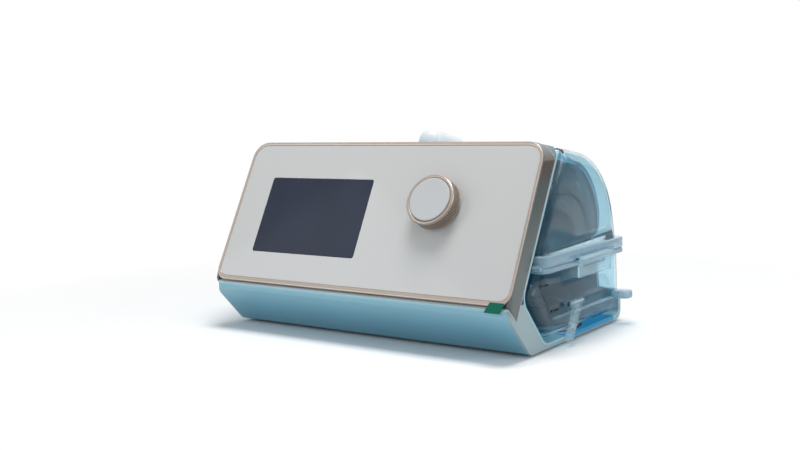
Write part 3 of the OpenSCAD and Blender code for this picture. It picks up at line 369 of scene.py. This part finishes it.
# ---- top cover and bay liner ----
# The upper shell in the same blue, screwed to the base, with the socket of the air outlet, and under it the
# pale blue-grey lining of the chamber bay. At the right-hand end they stop short behind, where the clear
# chamber closes the shape.
finish(softened("top_cover", open_end=opened), shell_blue)
finish(softened("outlet_socket", 0.2), shell_blue)
liner_grey = plastic("liner_grey", srgb(172, 211, 222), 0.42)
finish(softened("bay_liner", 0.3, open_end=opened), liner_grey)

# ---- front frame ----
# A champagne metal-look trim ring with a rounded crest, drawn round the white panel. Behind it a glossy skirt
# wraps back over the sides and narrows round the top corners, where the blue of the cover takes over. The skirt's
# dark grey-green, brown high up and lighter at its foot and top, is painted reflection of dark surroundings.
tilt = np.radians(27.6)
lean_front, lean_rear, top_fall = np.tan(tilt), np.tan(np.radians(29.1)), np.tan(np.radians(11.3))
panel_foot, body_top, half_width, top_bend = 42.9, 150.5, 140.0, 14


def to_frame(points):
    """Millimetres from the middle of the panel's lower edge, over the underside of the base, to metres in the
    model's frame: the middle of the footprint and the height of the feet are taken off."""
    return (np.asarray(points, float) - [8.0, 90.928, -2.0]) / 1000


def on_panel(across, high, out):
    """Points given across the panel, up its slope and out of its face: depth = high sin tilt - out cos tilt and
    height = panel_foot + high cos tilt + out sin tilt."""
    across, high, out = np.broadcast_arrays(across, high, out)
    return np.stack([across, high * np.sin(tilt) - out * np.cos(tilt),
                     panel_foot + high * np.cos(tilt) + out * np.sin(tilt)], -1)


def rounded(corners, bend=10):
    """An anticlockwise outline from corners [a, b, radius]. Each becomes bend + 1 points of a circle whose
    centre lies on the corner's bisector at radius / sin(half the corner's angle); the circle turns by 180
    degrees less that angle."""
    corners = np.asarray(corners, float)
    p, r = corners[:, :2], corners[:, 2:]
    u, v = np.roll(p, 1, 0) - p, np.roll(p, -1, 0) - p
    u /= np.linalg.norm(u, axis=1, keepdims=True)
    v /= np.linalg.norm(v, axis=1, keepdims=True)
    half = np.arccos(np.clip((u * v).sum(1, keepdims=True), -1, 1)) / 2
    middle = (u + v) / np.linalg.norm(u + v, axis=1, keepdims=True)
    centre = p + middle * r / np.sin(half)
    start = p + u * r / np.tan(half) - centre
    way = np.sign(u[:, 1:] * v[:, :1] - u[:, :1] * v[:, 1:])
    t = way * (np.pi - 2 * half) * np.linspace(0, 1, bend + 1)
    arc = np.stack([start[:, :1] * np.cos(t) - start[:, 1:] * np.sin(t),
                    start[:, :1] * np.sin(t) + start[:, 1:] * np.cos(t)], -1)
    return (centre[:, None] + arc).reshape(-1, 2)


def inset(corners, d):
    """Corners of an anticlockwise outline moved inward by d: each goes along the sum of its two edge normals,
    over one plus their product, and its radius shrinks by d, or grows where the corner is hollow."""
    corners = np.asarray(corners, float)
    p = corners[:, :2]
    u, v = p - np.roll(p, 1, 0), np.roll(p, -1, 0) - p
    u /= np.linalg.norm(u, axis=1, keepdims=True)
    v /= np.linalg.norm(v, axis=1, keepdims=True)
    m, n = np.stack([-u[:, 1], u[:, 0]], 1), np.stack([-v[:, 1], v[:, 0]], 1)
    moved = p + d * (m + n) / (1 + (m * n).sum(1, keepdims=True))
    way = np.sign(u[:, 0] * v[:, 1] - u[:, 1] * v[:, 0])
    radius = np.where(corners[:, 2] <= 0, 0, np.maximum(corners[:, 2] - way * d, 0.4))
    return np.column_stack([moved, radius])


def skin(name, sheets, flats=(), sharp=35):
    """A mesh from sheets, each a grid of points in mm whose neighbours share a face, and flats, each a set of
    closed loops of points whose inside is filled. Doubles are merged, and the faces are turned outward."""
    points, faces, loops, first = [], [], [], 0
    for sheet in sheets:
        rows, columns = sheet.shape[:2]
        corner = first + np.arange((rows - 1) * columns).reshape(rows - 1, columns)[:, :-1]
        faces.append(np.stack([corner, corner + 1, corner + columns + 1, corner + columns], -1).reshape(-1, 4))
        points.append(sheet.reshape(-1, 3))
        first += rows * columns
    for flat in flats:
        ends = []
        for loop in flat:
            loop = np.asarray(loop)
            loop = loop[np.linalg.norm(loop - np.roll(loop, -1, 0), axis=1) > 0.005]
            index = first + np.arange(len(loop))
            ends.append(np.stack([index, np.roll(index, -1)], 1))
            points.append(loop)
            first += len(loop)
        loops.append(np.concatenate(ends))
    mesh = bpy.data.meshes.new(name)
    mesh.from_pydata(to_frame(np.concatenate(points)).tolist(), [],
                     np.concatenate(faces).tolist() if faces else [])
    build = bmesh.new()
    build.from_mesh(mesh)
    build.verts.ensure_lookup_table()
    for ends in loops:
        made = [build.edges.new((build.verts[a], build.verts[b])) for a, b in ends.tolist()]
        bmesh.ops.triangle_fill(build, edges=made, use_beauty=True, use_dissolve=False)
    bmesh.ops.remove_doubles(build, verts=build.verts, dist=2e-6)
    bmesh.ops.dissolve_degenerate(build, edges=build.edges, dist=1e-6)
    bmesh.ops.recalc_face_normals(build, faces=build.faces)
    build.to_mesh(mesh)
    build.free()
    area = np.empty(len(mesh.polygons))
    centre, normal = np.empty((len(area), 3)), np.empty((len(area), 3))
    mesh.polygons.foreach_get("area", area)
    mesh.polygons.foreach_get("center", centre.ravel())
    mesh.polygons.foreach_get("normal", normal.ravel())
    middle = (centre * area[:, None]).sum(0) / area.sum()
    if (((centre - middle) * normal).sum(1) * area).sum() < 0:
        mesh.flip_normals()
    mesh.shade_smooth()
    mesh.set_sharp_from_angle(angle=np.radians(sharp))
    piece = bpy.data.objects.new(name, mesh)
    scene.collection.objects.link(piece)
    return piece


def walled(piece, thick):
    """Gives an open skin a wall of even thickness in mm, inward."""
    wall = piece.modifiers.new("wall", "SOLIDIFY")
    wall.thickness = thick / 1000
    wall.offset = -1
    wall.use_even_offset = True
    return piece


def frame_of(inner, outer, section, place, closed=True):
    """A ring between two outlines with matching points: a section point [share, height] lies at
    inner + share (outer - inner), and place turns outline points and heights into space."""
    inner, outer = np.vstack([inner, inner[:1]]), np.vstack([outer, outer[:1]])
    section = np.asarray(section + section[:1] if closed else section, float)
    flat = inner + section[:, :1, None] * (outer - inner)
    return place(flat[..., 0], flat[..., 1], section[:, 1:] + 0 * flat[..., 0])


trim_champagne = plastic("trim_champagne", srgb(178, 166, 156), 0.26, Metallic=0.75)
trim_ring = skin("trim_ring", [frame_of(
    rounded([[-137.8, 0, 8], [137.8, 0, 8], [137.8, 118.5, 11.8], [-137.8, 118.5, 11.8]]),
    rounded([[-140, -3.9, 10], [140, -3.9, 10], [140, 121.4, 14], [-140, 121.4, 14]]),
    [[0.02, -1.5], [0.02, -0.05], [0.1, 0.2], [0.2, 0.3], [0.42, 0.34], [0.52, 0.5], [0.62, 0.74], [0.72, 0.8],
     [0.82, 0.78], [0.92, 0.66], [0.98, 0.45], [1.0, 0.2], [1.0, -0.15], [0.9, -0.35], [0.88, -3.9], [0.1, -3.9]],
    on_panel)], sharp=50)
fitted(trim_ring, "front_frame")
finish(trim_ring, trim_champagne)


def front_y(z):
    """Depth of the skirt's front edge at a height: on the panel's plane, and under it along a straight line
    from the panel's lower edge down to the tip."""
    panel_edge, edge_depth, tip_back, tip_drop = 38.6, -1.15, 10.35, 11
    return np.where(z < panel_edge, edge_depth + (panel_edge - z) * tip_back / tip_drop,
                    (z - panel_foot) * lean_front)


# The front view of the body, from the lower right over the top to the lower left, and with it the share of
# the frame's depth that the dark skirt takes: all of it at the sides, a thin strip along the top.
side_count, top_count, top_share = 44, 28, 0.09
rise = np.radians(np.linspace(0, 90, 25))
side_z = np.concatenate([np.linspace(27.7, body_top - top_bend, side_count + 1)[:-1],
                         body_top - top_bend + top_bend * np.sin(rise)])
side_x = np.concatenate([np.full(side_count, half_width), half_width - top_bend + top_bend * np.cos(rise)])
side_share = np.concatenate([np.full(side_count, 1.0), np.interp(
    np.degrees(rise), [0, 6, 19, 31, 41, 60, 80, 90], [1, 0.92, 0.76, 0.63, 0.5, 0.3, 0.13, top_share])])
across = np.linspace(1, -1, top_count + 2)[1:-1] * (half_width - top_bend)
edge_x = np.concatenate([side_x, across, -side_x[::-1]])
edge_z = np.concatenate([side_z, np.full(top_count, body_top), side_z[::-1]])
edge_share = np.concatenate([side_share, np.full(top_count, top_share), side_share[::-1]])


def wrap(x, z, share, sunk=0.0):
    """Points of the frame's outer surface. x and z follow the front view of the body, share runs from the
    panel's plane, 0, to the rear edge, 1; the falling top and the body's rounded front corners cut in."""
    front = front_y(z)
    y = front + share * (9.2 + (z - 27.6) * lean_rear - front)
    corner = np.where(y < 3, 8 - np.sqrt(np.clip(64 - np.clip(3 - y, 0, 8) ** 2, 0, 64)), 0)
    low = np.minimum(z, body_top - (y - 56.25) * top_fall)
    width = np.abs(x)
    return np.stack([np.sign(x) * (width - corner * (width > 130) - sunk * (width > 126.2)), y,
                     low - sunk * (z > body_top - top_bend)], -1)


depth = np.linspace(0, 1, 9)[:, None]
# Painted reflection: the skirt's dark grey-green, brown high up and lighter at its foot and top, stands in for dark
# surroundings mirrored in the frame's glossy side.
skirt_painted_reflection = plastic("skirt_painted_reflection", srgb(92, 101, 99), 0.14, 0.1, 0.06, Coat_Weight=0.5, Coat_Roughness=0.05,
                     bands=[("Z", 0.055, 0.115, srgb(76, 84, 82)), ("Z", 0.118, 0.136, srgb(82, 64, 52)),
                            ("Z", 0.139, 0.146, srgb(104, 108, 108))])
skirt = walled(skin("side_skirt", [wrap(edge_x, edge_z, depth * edge_share)]), 1.9)
fitted(skirt, "front_frame", False)
finish(skirt, skirt_painted_reflection)

# Behind the skirt, round the top corners and along the top, the frame takes the blue of the cover, painted
# darker and greyer as painted shade.
over_top = slice(side_count, len(edge_x) - side_count)
brow_share = edge_share[over_top] + depth * (1 - edge_share[over_top])
brow = walled(skin("brow_band", [wrap(edge_x[over_top], edge_z[over_top], brow_share, 0.35)]), 1.5)
fitted(brow, "front_frame", False)
# Painted shade: the cover's blue made darker and greyer for the brow.
brow_painted_shade = plastic("brow_painted_shade", srgb(96, 124, 134), 0.25, Coat_Weight=0.3, Coat_Roughness=0.1)
finish(brow, brow_painted_shade)


def piping(name, path, radius, around=10):
    """A closed-ended tube round a path of points: circles in the plane of each point's two normals, the first
    square to the path and to one fixed slanting direction, shrinking to a point at both ends."""
    path = np.asarray(path, float)
    heading = np.gradient(path, axis=0)
    heading /= np.linalg.norm(heading, axis=1, keepdims=True)
    first = np.cross(heading, [0.9, 0.3, 0.1])
    first /= np.linalg.norm(first, axis=1, keepdims=True)
    second = np.cross(heading, first)
    size = np.full(len(path), float(radius))
    path, first, second = (np.vstack([part[:1], part, part[-1:]]) for part in (path, first, second))
    size = np.concatenate([[0], size, [0]])[:, None, None]
    t = np.linspace(0, 2 * np.pi, around + 1)[None, :, None]
    return skin(name, [path[:, None] + size * (np.cos(t) * first[:, None] + np.sin(t) * second[:, None])])


# A thin bright line ends the skirt at both sides, and another follows the lip of the base at the right; both are
# painted highlights, pale tubes put where light catches the edges.
# Painted highlight: a pale grey for thin tubes that stand in for light caught on edges.
painted_highlight_edge = plastic("painted_highlight_edge", srgb(196, 198, 200), 0.2, 0.04)
edge_radius, edge_count = 0.42, 66
for side, keep in (("right", slice(0, edge_count)), ("left", slice(len(edge_x) - edge_count, len(edge_x)))):
    line = piping("skirt_edge_" + side, wrap(edge_x[keep], edge_z[keep], edge_share[keep] - 0.02, 0.25),
                  edge_radius)
    fitted(line, "front_frame", False)
    finish(line, painted_highlight_edge)

run = np.linspace(0, 1, 12)
base_lip = piping("base_lip_edge", np.stack([np.linspace(139.6, 140.0, 12), np.linspace(-3.4, 8.6, 12),
                                             38.4 - 11.2 * run ** 1.3], -1), edge_radius)
fitted(base_lip, "base_shell", False)
finish(base_lip, painted_highlight_edge)

# ---- white panel and display ----
# The panel is glossy white moulded plastic with a rounded rim, dropped into the trim ring. The display window
# is one flush pane of dark tinted plastic.
panel_white = plastic("panel_white", srgb(206, 206, 205), 0.16, 0.015, 0.03, Coat_Weight=0.35,
                      Coat_Roughness=0.04, Specular_IOR_Level=0.35)
finish(softened("fascia", 0.3), panel_white)
screen = plastic("screen_glass", srgb(44, 52, 72), 0.1, 0.25, 0.05, bump=(0.02, 0.00002),
                 Specular_IOR_Level=0.16)
finish(softened("display_lens", 0.15), screen)

# ---- knob ----
# A turned ring with 72 fine flutes round its side and a polished rim, and a white cap pressed into it.
knob_across, knob_up, flute_count, flute_depth = 61.9, 68.9, 72, 0.8


def turned_ring(name, section, flutes=0, depth=0.0, around=144):
    """A closed section [radius, height] carried round the knob's axis. Where a section point's third value is
    1, the radius is less by depth (1 - |cos(half the flute angle)|), which gives round-backed flutes."""
    section = np.asarray(section + section[:1], float)
    t = np.linspace(0, 2 * np.pi, around + 1)
    r = section[:, :1] - section[:, 2:] * depth * (1 - np.abs(np.cos(flutes * t / 2)))
    return skin(name, [on_panel(knob_across + r * np.cos(t), knob_up + r * np.sin(t),
                                section[:, 1:2] + 0 * t)], sharp=40)


knob_metal = plastic("knob_metal", srgb(172, 158, 147), 0.28, 0.08, 0.1, Metallic=0.8)
ring = turned_ring("knob_ring_turned", [
    [19.3, 1.1, 0], [19.9, 1.5, 0], [20.0, 2.0, 0], [20.0, 2.2, 1], [20.0, 6.5, 1], [20.0, 10.4, 1],
    [20.0, 10.6, 0], [20.1, 10.8, 0], [20.1, 11.4, 0], [19.9, 12.1, 0], [19.3, 12.6, 0], [18.6, 12.7, 0],
    [17.9, 12.6, 0], [17.4, 12.2, 0], [17.2, 11.6, 0], [17.2, 5.6, 0], [3.05, 5.6, 0], [3.05, 3.6, 0],
    [17.0, 3.6, 0], [17.0, 1.1, 0]], flute_count, flute_depth, 10 * flute_count)
fitted(ring, "knob_ring")
finish(ring, knob_metal)
cap_white = plastic("cap_white", srgb(200, 202, 203), 0.3, 0.02, 0.05)
cap = turned_ring("knob_cap_moulded", [
    [0.0, 13.0, 0], [6, 13.02, 0], [12, 13.1, 0], [15.6, 13.25, 0], [16.4, 13.28, 0], [16.85, 13.1, 0],
    [17.05, 12.7, 0], [17.05, 10.3, 0], [6, 10.3, 0], [6, 5.65, 0], [3.05, 5.65, 0], [3.05, 8.8, 0], [0.0, 8.8, 0]])
fitted(cap, "knob_cap")
finish(cap, cap_white)

# ---- air outlet ----
# The white hose port: a 22 mm spigot with a stop collar, turned back over the top on a short neck.
port_white = plastic("port_white", srgb(232, 233, 234), 0.3)
finish(softened("outlet_elbow", 0.4), port_white)

# ---- water chamber ----
# Clear blue-tinted polycarbonate. The lid is a domed shell, low under the roof and full height past its end;
# the tub is a shell with a round hole in its floor for the metal plate. Their flanges meet at a thin seal.
def clear(name, colour, roughness=0.02, share=1.0, bending=1.25):
    """Clear tinted plastic that lets share of its light through and bends it by the given index. Light for the
    things behind it passes straight through, tinted once."""
    material = plastic(name, colour, roughness, 0.04, 0.02, 60.0, (0.05, 0.0004), Transmission_Weight=share,
                       IOR=bending, Coat_Weight=0.7, Coat_Roughness=0.02)
    inside, links = material.node_tree.nodes, material.node_tree.links
    plain = inside.new("ShaderNodeBsdfTransparent")
    plain.inputs["Color"].default_value = colour
    ray = inside.new("ShaderNodeLightPath")
    either = inside.new("ShaderNodeMixShader")
    links.new(ray.outputs["Is Shadow Ray"], either.inputs["Fac"])
    links.new(inside["Principled BSDF"].outputs[0], either.inputs[1])
    links.new(plain.outputs[0], either.inputs[2])
    links.new(either.outputs[0], inside["Material Output"].inputs["Surface"])
    return material


clear_tub = clear("clear_tub", srgb(206, 235, 244), 0.02, 1.0, 1.02)
clear_lid = clear("clear_lid", srgb(200, 230, 240), 0.02, 1.0, 1.12)
clear_flange = clear("clear_flange", srgb(178, 208, 222), 0.06, 0.5)
clear_small = clear("clear_small", srgb(216, 238, 246), 0.02, 0.85, 1.04)


def along(x, outline):
    """Side-view outline points put at the distance x."""
    return np.column_stack([np.full(len(outline), float(x)), outline])


per_corner = 11


def cut_at(outline, z):
    """An open outline whose two sharp end corners slide along their own end runs to the height z. rounded gives
    per_corner points for each corner, all in one place where it is sharp."""
    outline = outline.copy()
    for end, neighbour in ((slice(0, per_corner), per_corner), (slice(-per_corner, None), -per_corner - 1)):
        a, b = outline[end][0], outline[neighbour]
        outline[end] = b + (a - b) * (z - b[1]) / (a[1] - b[1])
    return outline


def circle(y, z, r, count=48):
    """Points round a circle in the side view."""
    t = np.linspace(0, 2 * np.pi, count, endpoint=False)
    return np.column_stack([y + r * np.cos(t), z + r * np.sin(t)])


# A station is [distance, inset]: there the shell's side-view outline is moved in by the inset, which rounds
# both ends. The lid also steps out where the roof of the bay ends.
turn = np.radians(np.linspace(0, 90, 9))
port_wall = 45
lid_corners = [[178.0, 57.5, 0], [156.0, 134.54, 70], [77.95, 145.55, 6], [28.97, 57.5, 0]]
stations = np.concatenate([
    np.column_stack([49 - 4 * np.cos(turn), 9.2 - 4 * np.sin(turn)]),
    [[100, 5.2], [121.0, 5.2], [121.9, 4.6], [122.3, 3.4], [122.5, 1.4], [122.9, 0.5], [123.6, 0]],
    np.column_stack([135 + 8 * np.sin(turn), 8 * (1 - np.cos(turn))])])
dome = [along(x, cut_at(rounded(inset(lid_corners, d)), 69.7)) for x, d in stations]
ports = [along(port_wall, circle(90.0, 98.0, 8)), along(port_wall, circle(121.95, 100.66, 9))]
lid = walled(skin("lid_dome", [np.array(dome)], [[dome[-1]], [dome[0], *ports]]), 2.0)
fitted(lid, "lid")
finish(lid, clear_lid)

flange_hole = rounded([[50, 42.4, 6], [138, 42.4, 6], [138, 171.1, 6], [50, 171.1, 6]])
flange_rim = rounded([[43, 36.4, 8], [148, 36.4, 8], [148, 178.1, 8], [43, 178.1, 8]])


def flange(name, low, high):
    """A hollow flange between its hole and its rim: a plate at the top, turned down round a rounded edge into
    an outer wall that ends at low, all of one thickness."""
    bend = np.radians(np.linspace(0, 90, 5))
    return walled(skin(name, [frame_of(flange_hole, flange_rim, [[0, high - 1.8], [0, high], [0.5, high]] + [
        [0.88 + 0.12 * np.sin(t), high - 1.2 * (1 - np.cos(t))] for t in bend] + [[1, low]],
        lambda x, y, z: np.stack([x, y, z], -1), False)], sharp=50), 1.6)


lid_flange = flange("lid_flange", 61.93, 70.0)
fitted(lid_flange, "lid", False)
finish(lid_flange, clear_flange)

# The tub keeps 4.2 mm inside the outline of the bay up to the flange, where it is cut off at its mouth.
tub_mouth, plate_hole = 61.3, 40.5
bay_corners = [[51.35, 4, 14], [182.7, 4, 5], [176.9, 121.0, 49.8], [75.11, 142.45, 6], [18.58, 40.9, 12]]
inside_bay = inset(bay_corners, 4.2)
nose = inside_bay[4]
tub_front = nose[0] + (tub_mouth - nose[1]) * (37.88 - nose[0]) / (57.5 - nose[1])
tub_corners = [[tub_front, tub_mouth, 0], nose, inside_bay[0], inside_bay[1], [175.9, tub_mouth, 0]]
stations = np.concatenate([
    np.column_stack([51 - 6 * np.cos(turn), 6 - 6 * np.sin(turn)]),
    np.column_stack([136 + 7 * np.sin(turn), 7 * (1 - np.cos(turn))])])
tub_rows = np.array([along(x, cut_at(rounded(inset(tub_corners, d)), tub_mouth)) for x, d in stations])
toe_end, heel_start = 3 * per_corner - 1, 3 * per_corner
left_end, right_start = len(turn) - 1, len(turn)
floor_strip = tub_rows[:, toe_end:heel_start + 1]
floor_loop = np.array([tub_rows[left_end, toe_end], tub_rows[left_end, heel_start],
                       tub_rows[right_start, heel_start], tub_rows[right_start, toe_end]])
hole = circle(92.5, 112.0, plate_hole, 72)
hole = np.column_stack([hole, np.full(len(hole), floor_loop[0, 2])])
tub = walled(skin("tub_shell", [tub_rows[:, :toe_end + 1], tub_rows[:, heel_start:], floor_strip[:right_start],
                                floor_strip[right_start:]],
                  [[tub_rows[0]], [tub_rows[-1]], [floor_loop, hole]]), 2.2)
fitted(tub, "tub")
finish(tub, clear_tub)
tub_flange = flange("tub_flange", 57.5, 61.32)
fitted(tub_flange, "tub", False)
finish(tub_flange, clear_flange)


def bar(corners, start, end, edge, place):
    """A solid between start and end with the outline corners, its ends rounded by edge: from the side to the
    end face the outline moves in by edge (1 - cos t), while edge (1 - sin t) is left to go. Returns its sheet
    and its two flat ends."""
    t = np.radians([0, 30, 60, 90])
    levels = np.concatenate([
        np.column_stack([start + edge * (1 - np.sin(t[::-1])), edge * (1 - np.cos(t[::-1]))]),
        np.column_stack([end - edge * (1 - np.sin(t)), edge * (1 - np.cos(t))])])
    rows = []
    for at, d in levels:
        outline = rounded(inset(corners, d), 6)
        rows.append(place(outline[:, 0], outline[:, 1], np.full(len(outline), at)))
    rows = np.array(rows)
    return np.concatenate([rows, rows[:, :1]], 1), [[rows[0]], [rows[-1]]]


x_way = lambda a, b, c: np.stack([c, a, b], -1)
y_way = lambda a, b, c: np.stack([a, c, b], -1)
z_way = lambda a, b, c: np.stack([a, b, c], -1)


def square(a, b, half_a, half_b, r):
    """Corners of a rectangle about (a, b)."""
    return [[a - half_a, b - half_b, r], [a + half_a, b - half_b, r], [a + half_a, b + half_b, r],
            [a - half_a, b + half_b, r]]


def fittings(name, rows, node, material):
    """Several bars as one piece on a node's body. Each row (corners, spans, edge, place) gives one bar for each
    of its spans (start, end)."""
    made = [bar(corners, start, end, edge, place) for corners, spans, edge, place in rows for start, end in spans]
    piece = skin(name, [sheet for sheet, ends in made], [flat for sheet, ends in made for flat in ends])
    fitted(piece, node, False)
    finish(piece, material)


# The tub carries a rim along its end, the outer knuckles of the lid hinge and the ears of the lever; the lid
# carries the middle knuckle and the ears of the clip. Each barrel has a web to its wall.
hinge_barrel = square(34.1, 61.6, 2.1, 2.1, 2.05)
tub_knuckles, lid_knuckle = [(126, 131), (141, 146)], [(131.3, 140.7)]
lever_ears, clip_ears = [(77, 79.7), (95.3, 98)], [(84, 86.7), (144.3, 147)]
fittings("tub_fittings", [
    (square(143.4, 21.9, 1.4, 0.9, 0.7), [(58, 169)], 0.5, y_way),
    (hinge_barrel, tub_knuckles, 0.4, x_way),
    (square(36.2, 60.6, 1.6, 0.8, 0.3), tub_knuckles, 0.2, x_way),
    (square(147.2, 30, 2.2, 2.2, 2.15), lever_ears, 0.3, y_way),
    (square(144.9, 30, 2.3, 2.2, 0.3), lever_ears, 0.2, y_way)], "tub", clear_small)
fittings("grip_tab", [
    ([[142, 163, 0.5], [156, 165, 6], [156, 181, 6], [142, 175, 0.5]], [(20, 26.5)], 1.6, z_way)],
    "tub", clear_flange)
fittings("lid_fittings", [
    (hinge_barrel, lid_knuckle, 0.4, x_way),
    (square(36.2, 62.9, 1.6, 0.9, 0.3), lid_knuckle, 0.2, x_way),
    (square(150.1, 62.03, 1.9, 1.9, 1.85), clip_ears, 0.3, y_way),
    (square(149.5, 64.03, 2.5, 2.0, 0.3), clip_ears, 0.2, y_way)], "lid", clear_small)
finish(softened("lid_clip", 0.5), clear_small)
finish(softened("release_lever", 0.5), clear_small)
finish(softened("air_tube", 0.2), clear_tub)

# ---- everything else ----
# Boards, blower, ducts, filter, heater, seals, feet, screws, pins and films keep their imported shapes.
others = {
    "circuit_board": plastic("circuit_board", srgb(40, 96, 60), 0.5),
    "dark_plastic": plastic("dark_plastic", srgb(50, 50, 54), 0.5),
    "plain_plastic": plastic("plain_plastic", srgb(205, 207, 209), 0.5),
    "steel": plastic("steel", srgb(190, 192, 194), 0.3, Metallic=1.0),
    "foam": plastic("foam", srgb(96, 98, 100), 0.95, grain=900.0, bump=(0.8, 0.0006)),
    "rubber": plastic("rubber", srgb(60, 60, 62), 0.8),
    "aluminium": plastic("aluminium", srgb(205, 207, 209), 0.3, Metallic=1.0),
    "silicone": plastic("silicone", srgb(176, 196, 204), 0.5),
    "mark_ink": plastic("mark_ink", srgb(22, 34, 56), 0.6, Specular_IOR_Level=0.1),
    "film_green": plastic("film_green", srgb(8, 104, 84), 0.4, Specular_IOR_Level=0.15),
    "film_blue": plastic("film_blue", srgb(58, 164, 212), 0.25, Specular_IOR_Level=0.3),
    "shell_blue": shell_blue,
    "liner_grey": liner_grey,
    "knob_metal": knob_metal,
    "port_white": port_white,
}
shown = {"base_shell", "top_cover", "bay_liner", "front_frame", "fascia", "display_lens", "knob_ring", "knob_cap",
         "outlet_elbow", "outlet_socket", "tub", "release_lever", "air_tube", "lid", "lid_clip"}
for name, item in nodes.items():
    if name not in shown:
        item.data.materials.clear()
        item.data.materials.append(others[slots[name]])
